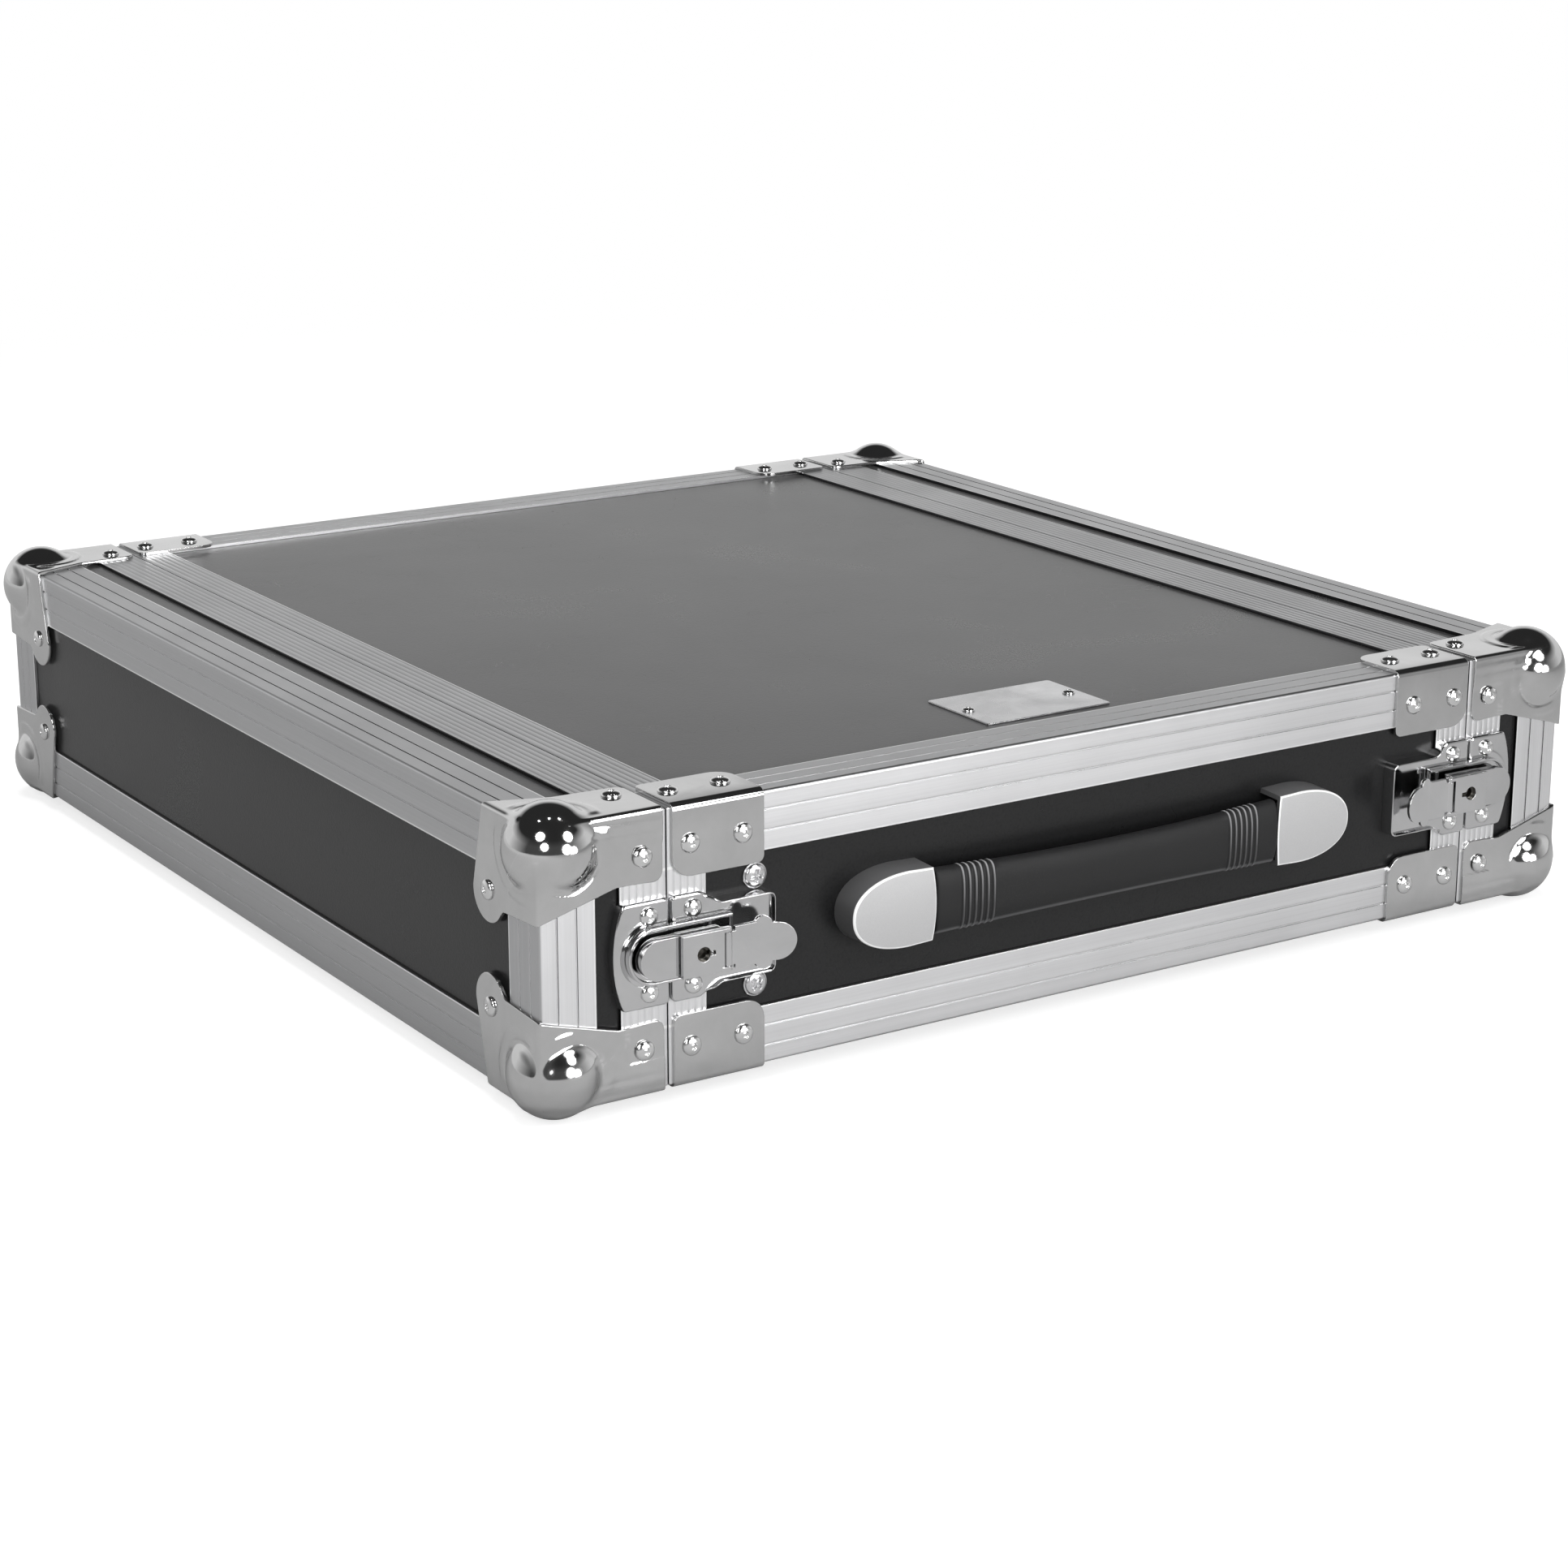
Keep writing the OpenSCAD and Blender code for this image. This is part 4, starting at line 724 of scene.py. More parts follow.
def capSheet(inset):
    # The cap's skin as sections from its mouth to its round end. Half width: the outline, a superellipse
    # over the last stretch. Height: flat with a slight crown, and a quarter circle down at the edge, by the
    # distance d from the outline: 1 minus the superellipse's radius, times the length of the round end.
    h = handle
    end, edge = h["capLength"] - inset, max(h["capEdge"] - inset * 0.4, 0.3)
    share = np.concatenate([np.array([0, 0.15, 0.4, 0.7, 1.1]) / end, np.linspace(0.05, 0.25, 7)[:-1],
                            0.25 + 0.75 * np.sin(np.linspace(0, np.pi / 2, 40))])
    along = share * end
    bend = h["capRound"] - inset
    into = np.clip((along - (end - bend)) / bend, 0, 0.9999999)
    straight = h["mouthHalf"] + (h["capHalf"] - h["mouthHalf"]) * np.clip(along / (end - bend), 0, 1) - inset
    power = h["capPower"]
    width = straight * (1 - into ** power) ** (1 / power)
    across = np.sin(np.linspace(-1, 1, 45) * np.pi / 2)
    z = width[:, None] * across[None, :]
    ring = (into[:, None] ** power + np.abs(z / straight[:, None]) ** power) ** (1 / power)
    d = np.clip(np.minimum((1 - ring) * bend, along[:, None] + 0.35 * edge), 0, edge)
    crown = h["crown"] * (1 - (z / h["capHalf"]) ** 2 - 0.7 * ((along[:, None] / end) - 0.35) ** 2)
    top = h["capTop"] - inset - h["crown"] - edge + np.sqrt(edge ** 2 - (edge - d) ** 2) + crown
    skins = []
    for up, out in ((0.0, 1.0), (0.5, 0.5), (0.92, 0.08)):
        height = h["capLow"] + up * (top[:, -1] - h["capLow"])
        skins.append((height, width + h["draft"] * out * np.sqrt(np.clip(1 - into ** 4, 0, 1))))
    left = [np.stack([height, along, -half], -1) for height, half in skins]
    right = [np.stack([height, along, half], -1) for height, half in skins[::-1]]
    middle = np.stack([top, np.broadcast_to(along[:, None], z.shape), z], -1)
    rings = np.concatenate([np.stack(left, 1), middle, np.stack(right, 1)], 1)
    rings[..., 1] += h["mouthBow"] * (rings[..., 2] / h["mouthHalf"]) ** 2 * (1 - rings[..., 1] / end) ** 3
    return rings


def handleCaps():
    # outer and inner skin as one ring round each section, and strips that close the two ends between them
    h = handle
    outer, inner = capSheet(0.0), capSheet(h["wall"])[:, ::-1]
    rings = np.concatenate([outer, inner], 1)
    rows, columns = rings.shape[:2]
    half = columns // 2
    quads = loopFaces(rows, columns)
    k = np.arange(half - 1)
    strips = []
    for first, turned in ((0, False), ((rows - 1) * columns, True)):
        strip = np.stack([first + k, first + k + 1, first + columns - 2 - k, first + columns - 1 - k], 1)
        strips.append(strip if turned else strip[:, ::-1])
    points = rings.reshape(-1, 3).copy()
    points[:, 1] += h["half"] - h["capLength"]
    for side, sx in sides:
        parts = [(fromHandle(points, sx, sy), [quads] + strips) for sy in (-1, 1)]
        makePiece(side + "_grip_ends", parts, "cap_grey", "case_body", side + "_handle_caps", sharp=38)


def ribCrests():
    return handle["gripHalf"] - handle["ribMargin"] - np.arange(handle["ribs"]) * handle["ribPitch"]


def gripHalfSizes(along):
    # Half thickness, half height and middle of the grip's section at distances along it: a parabola's waist
    # and bow, an end rounded by a quarter circle, and a parabola's rib near each crest.
    h = handle
    end, edge = h["gripHalf"], h["gripEdge"]
    share = np.clip(along / end, -1, 1)
    sag = 1 - share ** 2
    into = np.clip((np.abs(along) - (end - edge)) / edge, 0, 1)
    soft = edge * (1 - np.sqrt(1 - into ** 2))
    thick = h["gripThick"] / 2 - soft
    high = h["gripHigh"] / 2 - h["waist"] / 2 * sag - soft
    middle = h["gripLow"] + h["gripThick"] / 2 + h["bow"] * sag
    near = np.abs(np.abs(along)[:, None] - ribCrests()).min(1)
    rib = h["ribHeight"] * np.clip(1 - (near / h["ribWidth"]) ** 2, 0, 1)
    return thick + rib, high + rib * 0.5, middle


def superLoop(turn, thick, high, power):
    # a superellipse: out and up, at angles turn
    out = thick * np.sign(np.cos(turn)) * np.abs(np.cos(turn)) ** (2 / power)
    up = high * np.sign(np.sin(turn)) * np.abs(np.sin(turn)) ** (2 / power)
    return out, up


def handleGrips():
    # one closed tube of superellipse sections: along the grip and its necks, and back through the slot
    h = handle
    end, tip = h["gripHalf"], h["gripHalf"] + h["neckLength"]
    acrossRib = h["ribWidth"] * np.array([-1.02, -0.8, -0.5, -0.2, 0, 0.2, 0.5, 0.8, 1.02])
    fine = (ribCrests()[:, None] + acrossRib).ravel()
    tips = end - np.array([0, 0.15, 0.4, 0.8])
    evenly = np.linspace(-end + 1.3, end - 1.3, 60)
    body = np.unique(np.round(np.concatenate([fine, -fine, evenly, tips, -tips]), 4))
    thick, high, middle = gripHalfSizes(body)
    neckAt = np.array([0.02, 0.3, h["neckLength"] - 0.4, h["neckLength"]])
    neckIn = np.array([0, 0, 0, 0.4])
    neckMid = h["neckTop"] - h["neckThick"] / 2 + 0.3
    along = np.concatenate([-(end + neckAt)[::-1], body, end + neckAt])
    neckThick, neckHigh = h["neckThick"] / 2 - neckIn, h["neckHigh"] / 2 - neckIn
    thick = np.concatenate([neckThick[::-1], thick, neckThick])
    high = np.concatenate([neckHigh[::-1], high, neckHigh])
    middle = np.concatenate([np.full(4, neckMid), middle, np.full(4, neckMid)])
    turn = np.linspace(0, 2 * np.pi, 48, endpoint=False)
    out, up = superLoop(turn[None, :], thick[:, None], high[:, None], h["gripPower"])
    outer = np.stack([middle[:, None] + out, np.broadcast_to(along[:, None], out.shape), up], -1)
    slotAlong = np.linspace(tip, -tip, 24)
    slotThick, slotHigh = np.full((24, 1), h["slotThick"] / 2), np.full((24, 1), h["slotHigh"] / 2)
    out, up = superLoop(turn[None, :], slotThick, slotHigh, h["slotPower"])
    inner = np.stack([h["slotMid"] + out, np.broadcast_to(slotAlong[:, None], out.shape), up], -1)
    rings = np.concatenate([outer, inner])
    quads = loopFaces(len(rings), len(turn), wrapRows=True)
    for side, sx in sides:
        part = (fromHandle(rings.reshape(-1, 3), sx, 1), [quads])
        makePiece(side + "_grip_rubber", [part], "grip_rubber", "case_body", side + "_handle_grip", sharp=38)


handleCaps()
handleGrips()
print("handles made")


rim = {"gap": 0.1, "bodyStart": 200.3, "lidStart": 200.7, "pitch": 3.0, "lineWidth": 0.7, "lineDepth": 0.09,
       "edgeR": 0.35, "bodyWidth": 17.0, "lidWidth": 20.0}
# each rim's section behind its face as (from the split, out from the face, corner radius): web, inner
# flange, and the body's tongue or the lid's groove
rimTails = {"lid": [(5.85, -1.5, 0.3), (5.85, -8.5, 0.3), (10, -8.5, 0.2), (10, -10, 0.2), (0, -10, 0.2),
                    (0, -6.85, 0.2), (4.35, -6.85, 0.2), (4.35, -3.15, 0.2), (0, -3.15, 0)],
            "body": [(3, -1.5, 0.3), (3, -8.5, 0.3), (10, -8.5, 0.2), (10, -10, 0.2), (0, -10, 0.2),
                     (0, -6.5, 0.2), (-4, -6.5, 0.4), (-4, -3.5, 0.4), (0, -3.5, 0)]}


def rimFace(width):
    # the outer face with its fine lines, each a shallow V with a rounded bottom
    r = rim
    w, d = r["lineWidth"] / 2, r["lineDepth"]
    middles = np.arange(r["pitch"], width - 2 * w, r["pitch"]) + w
    groove = ((-1, 0), (-0.5, 0.6), (0, 1), (0.5, 0.6), (1, 0))
    return [(m + x * w, -d * y, 0) for m in middles for x, y in groove]


def rimSection(kind):
    width = rim[kind + "Width"]
    return roundedPath([(0, -1.6, 0), (0, 0, rim["edgeR"])] + rimFace(width)
                       + [(width, 0, rim["edgeR"]), (width, -1.5, 0.2)] + rimTails[kind], 4)


def carriedLength(section, across, up, out, reach, middle, sy, start):
    # a section carried along one side, its ends cut at 45 degrees: the half length shrinks with depth
    half = reach - rim["gap"] + section[:, 1]
    rings = []
    for end in (-1, 1):
        place = middle + np.outer(out + section[:, 1], up) + np.outer(end * half, across)
        place[:, 1] = sy * (start + section[:, 0] * (1 if start > rim["bodyStart"] else -1))
        rings.append(place * mm)
    count = len(section)
    loop = np.arange(count)[None]
    return np.concatenate(rings), [loopFaces(2, count), loop[:, ::-1], loop + count]


def splitRims():
    halfW, halfH = case["halfW"] / mm, case["halfH"] / mm
    middle = np.array([0, 0, case["midZ"] / mm])
    x, z = np.array([1.0, 0, 0]), np.array([0, 0, 1.0])
    for end, sy in ends:
        for kind, name, body, node in (("body", "_body_rim", "case_body", "_rim"),
                                       ("lid", "_split_rim", end + "_lid", "_lid_rim")):
            section, start = rimSection(kind), rim[kind + "Start"]
            parts = [carriedLength(section, x, s * z, halfH, halfW, middle, sy, start) for s in (-1, 1)]
            parts += [carriedLength(section, z, s * x, halfW, halfH, middle, sy, start) for s in (-1, 1)]
            makePiece(end + name, parts, "profile_ring", body, end + node, sharp=25)


splitRims()
print("split rims made")


rivet = {"headR": 4.0, "headH": 1.9, "latchR": 3.7, "plateR": 2.7, "plateH": 1.2, "shank": 1.2,
         "shankR": 1.95, "rim": 0.3, "holeShare": 0.33, "steps": 28}
screw = {"washerR": 5.2, "washerT": 0.8, "headR": 4.6, "headH": 1.6, "arm": (0.45, 0.85), "armLength": 2.7,
         "deep": 1.3, "steps": 64}
# where they sit, in millimetres: along from the split, in from an edge, up from the middle, out from a face
fixing = {"sheet": 1.5, "braceAlong": (9.5, 32.5), "braceIn": 14.5, "latchAlong": 9.5, "latchUp": 15.0,
          "latchOut": 3.0, "cornerAlong": 43.0, "cornerDown": 16.6, "cornerIn": 21.0, "earIn": 36.0,
          "earDown": 31.5, "railAlong": 39.2, "railUp": 21.5, "railOut": -1.5, "strapAlong": 112.0,
          "plateIn": 53.0, "plateHalf": 25.5, "plateOut": -0.7}


def turned(profile, steps):
    # rings of points (distance from the axis, along it), with a pole at both ends; local X is the axis
    angles = np.linspace(0, 2 * np.pi, steps, endpoint=False)
    r, h = np.array(profile[1:-1], float).T
    points = np.stack([np.broadcast_to(h[:, None], (len(r), steps)), r[:, None] * np.cos(angles),
                       r[:, None] * np.sin(angles)], -1)
    return closedRings(points, [profile[0][1], 0, 0], [profile[-1][1], 0, 0])


def rivetShape(headR, headH):
    # a dome over a thin rim, with a raised lip round the mandrel hole and the broken mandrel down in it
    r = rivet
    hole = headR * r["holeShare"]
    turn = np.radians(np.linspace(4, 66, 7))
    dome = [(headR * np.cos(a), r["rim"] + (headH - r["rim"]) * np.sin(a) ** 0.9) for a in turn]
    top = dome[-1][1]
    low, thick = -r["shank"], r["shankR"]
    return ([(0, low), (thick - 0.35, low), (thick, low + 0.3), (thick, 0), (headR - 0.12, 0), (headR, 0.1),
             (headR, r["rim"])] + dome
            + [(hole + 0.12, top + 0.03), (hole, top - 0.1), (hole - 0.08, top - 0.75 * headH / 2),
               (hole * 0.72, top - 0.62 * headH / 2), (hole * 0.3, top - 0.5 * headH / 2),
               (0, top - 0.46 * headH / 2)])


def screwShape():
    # washer, and a pan head whose cross recess is cut down where either arm's mask is 1
    s = screw
    dome = [(s["headR"] * np.cos(a), s["washerT"] + 0.45 + (s["headH"] - 0.45) * np.sin(a))
            for a in np.radians([0, 14, 28, 42])]
    low, high = dome[-1]
    inner = np.linspace(low, 0, 13)[1:-1]
    cap = [(x, high + (s["washerT"] + s["headH"] - high) * (1 - (x / low) ** 2)) for x in inner]
    washer, flat, edge = s["washerR"], s["washerT"], s["headR"]
    profile = ([(0, -1.0), (2.2, -1.0), (2.2, 0), (washer - 0.1, 0), (washer, 0.12), (washer, flat - 0.12),
                (washer - 0.12, flat), (edge - 0.1, flat), (edge, flat + 0.12)]
               + dome + cap + [(0, flat + s["headH"])])
    points, faces = turned(profile, s["steps"])
    y, z = np.abs(points[:, 1]), np.abs(points[:, 2])
    reach = (s["armLength"] - 0.5, s["armLength"])
    arms = np.maximum((1 - ease(y, *s["arm"])) * (1 - ease(z, *reach)),
                      (1 - ease(z, *s["arm"])) * (1 - ease(y, *reach)))
    points[:, 0] -= s["deep"] * arms * (points[:, 0] > high - 0.2)
    return points, faces


def placed(points, origin, axis, turn=0.0):
    # local X laid along the axis, turned about it, and moved to the origin in millimetres
    axis = np.array(axis, float)
    side = np.array([0, 0, 1.0]) if abs(axis[2]) < 0.5 else np.array([0, 1.0, 0])
    other = np.cross(axis, side)
    y = points[:, 1] * np.cos(turn) - points[:, 2] * np.sin(turn)
    z = points[:, 1] * np.sin(turn) + points[:, 2] * np.cos(turn)
    return (np.array(origin) + np.outer(points[:, 0], axis) + np.outer(y, other) + np.outer(z, side)) * mm


def fixings(name, rows, finish, body, node, firstTurn, turn):
    # one piece of all the fasteners in rows of (shape, place, axis), each turned further than the last
    makePiece(name, [(placed(points, at, axis, firstTurn + turn * k), faces)
                     for k, ((points, faces), at, axis) in enumerate(rows)], finish, body, node)


def fasteners():
    r, f = rivet, fixing
    big, latch, small = (turned(rivetShape(a, b), r["steps"]) for a, b in
                         ((r["headR"], r["headH"]), (r["latchR"], r["headH"]), (r["plateR"], r["plateH"])))
    head = screwShape()
    halfW, halfD, halfH, midZ, split = (case[k] / mm for k in ("halfW", "halfD", "halfH", "midZ", "splitY"))
    wide, tall = halfW + f["sheet"], halfH + f["sheet"]
    onPlate = midZ + halfH + f["plateOut"]
    body = [(small, (halfW - f["plateIn"], s * f["plateHalf"], onPlate), (0, 0, 1)) for s in (-1, 1)]
    screws = []
    for end, sy in ends:
        lid = []
        corner = sy * (halfD - f["cornerAlong"])
        for sx, sz in ((-1, -1), (-1, 1), (1, -1), (1, 1)):
            side, top = (sx, 0, 0), (0, 0, sz)
            for along in f["braceAlong"]:
                y = sy * (split - along)
                body.append((big, (sx * wide, y, midZ + sz * (halfH - f["braceIn"])), side))
                body.append((big, (sx * (halfW - f["braceIn"]), y, midZ + sz * tall), top))
            for rows, s in ((body, -1), (lid, 1)):
                y = sy * (split + s * f["latchAlong"])
                rows.append((latch, (sx * (halfW + f["latchOut"]), y, midZ + sz * f["latchUp"]), side))
            lid.append((big, (sx * wide, corner, midZ + sz * (halfH - f["cornerDown"])), side))
            lid.append((big, (sx * (halfW - f["cornerIn"]), corner, midZ + sz * tall), top))
            onEar = (sx * (halfW - f["earIn"]), sy * (halfD + f["sheet"]), midZ + sz * (halfH - f["earDown"]))
            lid.append((big, onEar, (0, sy, 0)))
            if sy < 0:
                onRail = (sx * (halfW + f["railOut"]), f["railAlong"] - split, midZ + sz * f["railUp"])
                screws.append((head, onRail, side))
        fixings(end + "_lid_fixings", lid, "rivet_steel", end + "_lid", end + "_lid_rivets", 0.0, 0.7)
        screws += [(head, (sx * halfW, sy * f["strapAlong"], midZ), (sx, 0, 0)) for sx in (-1, 1)]
    fixings("body_fixings", body, "rivet_steel", "case_body", "body_rivets", 0.5, 0.9)
    fixings("cross_screws", screws, "screw_steel", "case_body", "screws", 0.5, 0.9)


fasteners()
print("rivets and screws made")


foamPad = {"inset": 13.8, "thick": 15.0, "behind": 8.5, "edgeR": 2.2, "cornerR": 3.0,
           "wave": 0.16, "fill": 0.9}


def foamPads():
    # rings of a rounded rectangle: out along the back, round the edge, and in along the uneven face
    f = foamPad
    half = np.array([case["halfW"] / mm - f["inset"], case["halfH"] / mm - f["inset"]])
    arc = np.linspace(0, np.pi / 2, 6)
    into, over = f["edgeR"] * (1 - np.sin(arc)), f["edgeR"] * (1 - np.cos(arc))
    back, face = half[1] * np.array([0.98, 0.6, 0.3]), half[1] * np.array([0.5, 0.7, 0.98])
    inset = np.concatenate([back, into, over, [4.5, 8, 13], face])
    level = np.concatenate([[0, 0, 0], over, f["thick"] - into, np.full(6, f["thick"])])
    arcs, spans = [], (60, 12, 60, 12)
    for k, (sx, sy) in enumerate(((1, 1), (-1, 1), (-1, -1), (1, -1))):
        a = np.linspace(0, np.pi / 2, 6) + k * np.pi / 2
        arcs.append((half - f["cornerR"]) * (sx, sy) + f["cornerR"] * np.stack([np.cos(a), np.sin(a)], 1))
    outline = []
    for here, after, count in zip(arcs, arcs[1:] + arcs[:1], spans):
        share = np.linspace(0, 1, count)[1:-1, None]
        outline += [here, here[-1] + share * (after[0] - here[-1])]
    outline = np.concatenate(outline)
    scale = (half - inset[:, None]) / half
    rings = outline[None] * scale[:, None, :]
    wave = f["wave"] * np.sin(rings[..., 0] * 0.11 + 1.3 * np.sin(rings[..., 1] * 0.19))
    height = level[:, None] - np.abs(wave) * (level > f["thick"] - 0.01)[:, None]
    rings = np.stack([rings[..., 0], height, rings[..., 1]], -1)
    flat, faces = closedRings(rings, [0, 0, 0], [0, f["thick"], 0])
    for end, sy in ends:
        place = np.stack([flat[:, 0] * mm, sy * (case["halfD"] - (f["behind"] + flat[:, 1]) * mm),
                          flat[:, 2] * mm + case["midZ"]], 1)
        lid = end + "_lid"
        pad = makePiece(end + "_foam_pad", [(place, faces)], "foam", lid, lid + "_foam", sharp=50)


foamPads()
print("foam pads made")


latchPlate = {"high": 21.0, "thick": 3.0, "gap": 0.6, "keeper": 24.5, "sagitta": 4.0, "base": 45.0,
              "baseFull": 13.0, "slope": 8.0, "endHalf": 16.0, "rimH": 2.2, "rimAt": (15.0, 19.0),
              "edgeR": 1.2, "rimR": 0.45, "cornerR": 2.0, "under": (17.4, 17.7), "wall": 1.5,
              "ridgeMid": -8.8, "ridgeR": 13.3, "ridgeW": 0.6, "ridgeH": 0.24,
              "keeperUnder": (-20.6, -20.3), "rimSteps": (0.12, 0.3, 0.42, 0.6), "step": 0.7,
              "baseMiddle": 19.0, "keeperMiddle": -11.0}


def evenLoop(path, step):
    # a closed loop of points at even distances, from an open path whose ends meet
    closed = np.concatenate([path, path[:1]])
    length = np.linalg.norm(np.diff(closed, axis=0), axis=1).sum()
    return alongPath(closed, np.linspace(0, length, int(length / step), endpoint=False))


def keeperLoop():
    # straight at the split, an arc with the given sagitta at the other end
    p = latchPlate
    radius = (p["high"] ** 2 + p["sagitta"] ** 2) / (2 * p["sagitta"])
    turn = np.arcsin((p["high"] - 0.8) / radius) * np.linspace(-1, 1, 40)
    arc = np.stack([-p["keeper"] + radius * (1 - np.cos(turn)), -radius * np.sin(turn)], 1)
    high, near, r = p["high"], -p["gap"], p["cornerR"]
    arc = arc[np.abs(arc[:, 1]) < high - 2.5]
    rest = roundedPath([(*arc[-1], 0), (arc[-1][0] + 1.2, -high, r), (near, -high, r), (near, high, r),
                        (arc[0][0] + 1.2, high, r), (*arc[0], 0)])
    return evenLoop(np.concatenate([arc[:-1], rest[:-1]]), p["step"])


def baseLoop():
    # full height at the split, an S-curve, then the narrow end
    p = latchPlate
    y0, y1, y2, y3 = p["gap"], p["baseFull"], p["baseFull"] + p["slope"], p["base"]
    a, b, c, r = p["high"], p["endHalf"], p["cornerR"], p["slope"] * 0.45
    corners = [(y0, 0, 0), (y0, -a, c), (y1, -a, r), (y2, -b, r), (y3, -b, 3),
               (y3, b, 3), (y2, b, r), (y1, a, r), (y0, a, c), (y0, 0, 0)]
    return evenLoop(roundedPath(corners)[:-1], p["step"])


def plateRings(loop, base):
    # Rings of a pressed plate: a loop moved inwards along its own normals by d, at height h. h rises up the
    # side, turns over in a quarter circle, and on the base's far end stands as a thin rim over the floor.
    # The last rings shrink to the middle; on the keeper they carry a ridge round the claw's nose.
    p = latchPlate
    ahead = np.roll(loop, -1, 0) - np.roll(loop, 1, 0)
    inward = np.stack([-ahead[:, 1], ahead[:, 0]], 1) / np.linalg.norm(ahead, axis=1)[:, None]
    area = np.sum(loop[:, 0] * np.roll(loop[:, 1], -1) - np.roll(loop[:, 0], -1) * loop[:, 1])
    inward *= np.sign(area)
    rim = ease(loop[:, 0], *p["rimAt"]) if base else np.zeros(len(loop))
    radius = p["edgeR"] * (1 - rim) + p["rimR"] * rim
    top = p["thick"] + p["rimH"] * rim
    under = ease(loop[:, 0], *p["under"]) if base else 1 - ease(loop[:, 0], *p["keeperUnder"])
    low = -p["wall"] * under
    rings = [(np.zeros(len(loop)) + 3.0, low), (np.zeros(len(loop)), low)]
    for turn in np.radians([0, 15, 30, 45, 60, 75, 90]):
        rings.append((radius * (1 - np.cos(turn)), top - radius * (1 - np.sin(turn))))
    flat = np.full(len(loop), p["thick"])
    rings += [(radius + step, h) for step, h in zip(p["rimSteps"], (top, top * 0.1 + flat * 0.9, flat, flat))]
    places = [np.stack([h, *(loop + d[:, None] * inward).T], -1) for d, h in rings]
    centre = np.array([p["thick"], p["baseMiddle" if base else "keeperMiddle"], 0.0])
    first = places[-1]
    for share in np.linspace(0, 1, 2 if base else 44)[1:]:
        ring = first + (centre - first) * share * (0.98 if share == 1 else 1)
        if not base:
            away = np.where(ring[:, 1] < p["ridgeMid"], np.hypot(ring[:, 1] - p["ridgeMid"], ring[:, 2]), 1e3)
            ridge = p["ridgeH"] * np.exp(-((away - p["ridgeR"]) / p["ridgeW"]) ** 2)
            ring[:, 0] += ridge * ease(p["ridgeMid"] - ring[:, 1], 0, 4)
        places.append(ring)
    return closedRings(np.array(places), [low.max(), centre[1], 0], centre)


def latchPlates():
    base, keeper = plateRings(baseLoop(), True), plateRings(keeperLoop(), False)
    for end, sy in ends:
        parts = [(fromLatch(keeper[0], sx, sy), keeper[1]) for sx in (-1, 1)]
        makePiece(end + "_keeper_plates", parts, "latch_steel", end + "_lid", end + "_keepers", sharp=30)
        for side, sx in sides:
            name = end + "_" + side + "_latch_base"
            part = (fromLatch(base[0], sx, sy), base[1])
            makePiece(name + "_plate", [part], "latch_steel", "case_body", name, sharp=30)


latchPlates()
print("latch plates made")


# the other metal pieces: the end of a node's name, and how wide its edges are broken, in millimetres
brokenEdges = {"braces": 1.0, "turn": 0.5, "wing": 0.4, "claw": 0.3,
               "name_plate": 0.2, "handle_strap": 0.3, "rack_rail": 0.3}


def breakEdges(name, width):
    # a merged copy of a CAD node's mesh, each flat area one face, with a small bevel on every sharp edge
    node = frame["nodes"][name]
    mesh = node.data.copy()
    shape = bmesh.new()
    shape.from_mesh(mesh)
    bmesh.ops.remove_doubles(shape, verts=shape.verts, dist=0.000002)
    bmesh.ops.dissolve_limit(shape, angle_limit=0.012, verts=shape.verts, edges=shape.edges)
    bmesh.ops.dissolve_degenerate(shape, edges=shape.edges, dist=0.000002)
    shape.to_mesh(mesh)
    shape.free()
    for layer in [a.name for a in mesh.attributes if a.name.startswith("custom_normal")]:
        mesh.attributes.remove(mesh.attributes[layer])
    mesh.shade_smooth()
    piece = newObject(name + "_trim", mesh)
    bevel = piece.modifiers.new("brokenEdges", "BEVEL")
    bevel.width = width * mm
    bevel.segments = 2
    bevel.limit_method = "ANGLE"
    bevel.angle_limit = 0.5
    bevel.use_clamp_overlap = True
    bevel.harden_normals = True
    settle(piece, body_of(node)[0], name)


for name in sorted(frame["nodes"]):
    for ending, width in brokenEdges.items():
        if name.endswith(ending):
            breakEdges(name, width)
print("sheet and cast pieces made")


studio = {"floorRadius": 34.0, "floorColour": (0.40, 0.40, 0.40), "lift": 0.74,
          "darkSide": (0.85, -0.53, 0.0), "shade": (0.64, 0.77, 0.0), "floorNear": 0.36, "floorFar": 0.72,
          "horizon": 0.84, "horizonNear": 0.08, "ceiling": 0.03, "room": 0.28,
          "paperTo": (0.5, 1.6), "floorTurn": (0.0, 0.9), "wallTurn": (-0.3, 0.6), "wallRise": (0.30, 0.55)}


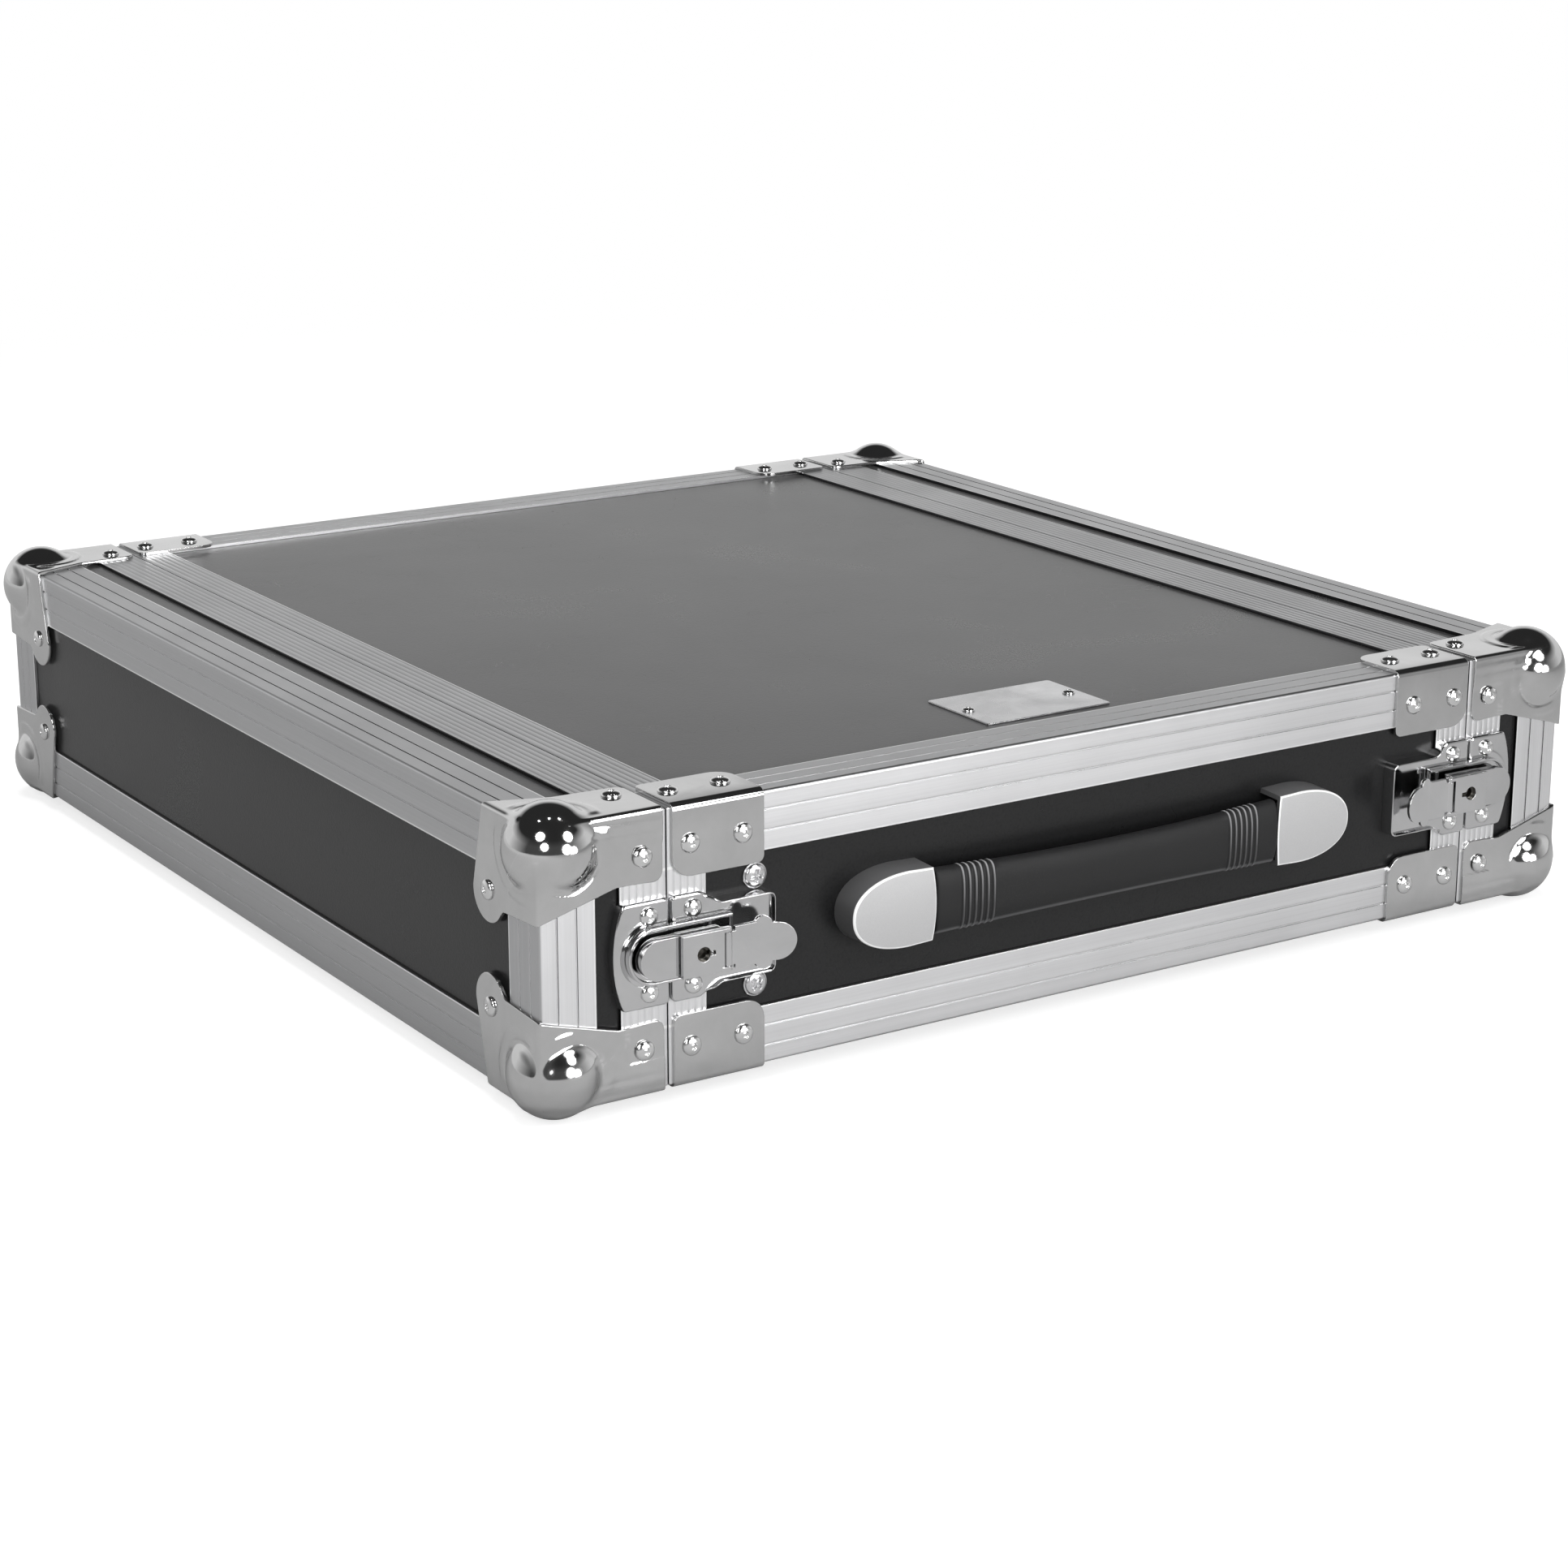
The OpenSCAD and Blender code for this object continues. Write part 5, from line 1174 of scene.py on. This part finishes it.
def makeFloor():
    # a disc at z = 0: rings of points at growing radii round the middle
    turns = np.linspace(0, 2 * np.pi, 64, endpoint=False)
    n = len(turns)
    ring = np.stack([np.cos(turns), np.sin(turns), np.zeros(n)], 1)
    points = np.concatenate([r * ring for r in np.geomspace(0.2, studio["floorRadius"], 14)] + [[[0, 0, 0]]])
    turn = np.arange(n)
    centre = np.stack([np.full(n, len(points) - 1), turn, (turn + 1) % n], 1)
    mesh = bpy.data.meshes.new("floor")
    mesh.from_pydata(points.tolist(), [], loopFaces(14, n)[:, ::-1].tolist() + centre.tolist())
    material = bpy.data.materials.new("floorPaper")
    material.use_nodes = True
    tree = material.node_tree
    tree.nodes.remove(tree.nodes["Principled BSDF"])
    place = put(tree, "TexCoord").outputs["Object"]
    away = put(tree, "VectorMath", {0: place}, operation="LENGTH").outputs["Value"]
    facing = dot(put(tree, "VectorMath", {0: place}, operation="NORMALIZE").outputs[0], studio["shade"])
    # paper with the object's shadow near it, and plain white far off; reflections see it darker on one side
    path = put(tree, "LightPath").outputs
    shade = remap(facing, *studio["floorTurn"], studio["floorFar"], studio["floorNear"])
    mirrored = times(path["Is Glossy Ray"], shade)
    seen = larger(larger(path["Is Camera Ray"], path["Is Transmission Ray"]), mirrored)
    paper = put(tree, "BsdfDiffuse", {"Color": (*studio["floorColour"], 1)})
    lifted = times(path["Is Camera Ray"], studio["lift"])
    glow = put(tree, "Emission", {"Color": (1, 1, 1, 1), "Strength": lifted})
    white = put(tree, "Emission", {"Color": (1, 1, 1, 1), "Strength": seen})
    near = put(tree, "AddShader", {0: paper.outputs[0], 1: glow.outputs[0]})
    far = remap(away, *studio["paperTo"])
    mixed = put(tree, "MixShader", {0: far, 1: near.outputs[0], 2: white.outputs[0]})
    fill(tree.nodes["Material Output"], {"Surface": mixed.outputs[0]})
    mesh.materials.append(material)
    newObject("floor", mesh)


def makeWorld():
    # soft room light; in reflections the room is dark above the camera's side and pale towards the horizon
    world = bpy.data.worlds.new("studio")
    bpy.context.scene.world = world
    world.use_nodes = True
    tree = world.node_tree
    place = put(tree, "TexCoord").outputs["Generated"]
    facing = dot(place, studio["darkSide"])
    level = remap(facing, *studio["wallTurn"], studio["horizon"], studio["horizonNear"])
    rise = remap(xyz(place)[2], *studio["wallRise"])
    ramp = plus(times(level, minus(1.0, rise)), times(rise, studio["ceiling"]))
    path = put(tree, "LightPath").outputs
    room = put(tree, "CombineColor", {0: ramp, 1: ramp, 2: ramp}).outputs[0]
    shown = blendColour(path["Is Glossy Ray"], (studio["room"],) * 3, room)
    shown = blendColour(larger(path["Is Camera Ray"], path["Is Transmission Ray"]), shown, (1, 1, 1))
    fill(tree.nodes["Background"], {"Color": shown, "Strength": 1.0})


lamps = {
    "leftHigh": {"at": (1.03, -1.40, 1.40), "size": 0.68, "power": 10.0},
    "leftLow": {"at": (1.62, -1.40, 0.74), "size": 0.60, "power": 7.5},
    "rightHigh": {"at": (1.63, 0.49, 1.18), "size": 0.72, "power": 10.0},
    "rightLow": {"at": (2.07, 0.21, 0.41), "size": 0.72, "power": 11.0},
    "dotA": {"at": (0.03, -0.79, 1.91), "size": 0.10, "power": 0.8},
    "dotB": {"at": (0.25, -0.20, 2.00), "size": 0.10, "power": 0.8},
    "dotC": {"at": (0.45, 0.37, 1.89), "size": 0.10, "power": 0.8},
    "softTop": {"at": (0.1, -0.1, 2.2), "size": 1.4, "power": 38.0, "mirrored": False},
    "sideLow": {"at": (2.12, 0.86, 0.19), "size": 0.7, "power": 9.0},
}


def makeLamps():
    target = Vector((0, 0, case["midZ"]))
    for name, lamp in lamps.items():
        light = bpy.data.lights.new(name, "AREA")
        light.shape = "DISK"
        light.size = lamp["size"]
        light.energy = lamp["power"]
        holder = newObject(name, light)
        holder.location = lamp["at"]
        holder.visible_camera = False
        holder.visible_glossy = lamp.get("mirrored", True)
        holder.rotation_euler = (target - holder.location).to_track_quat("-Z", "Y").to_euler()


# the camera stands where the photograph's lines lead; the image is 1932 x 1932
shot = {"at": (1.3021, -0.8177, 0.4829), "towards": (-0.8062, 0.5190, -0.2839), "lens": 78.84, "sensor": 36.0}


def makeCamera():
    data = bpy.data.cameras.new("camera")
    data.lens, data.sensor_width = shot["lens"], shot["sensor"]
    data.clip_start, data.clip_end = 0.05, 100.0
    camera = newObject("camera", data)
    camera.location = shot["at"]
    camera.rotation_euler = Vector(shot["towards"]).to_track_quat("-Z", "Y").to_euler()
    bpy.context.scene.camera = camera


makeFloor()
makeWorld()
makeLamps()
makeCamera()
bpy.context.scene.view_settings.view_transform = "Standard"
print("floor, light and camera set")
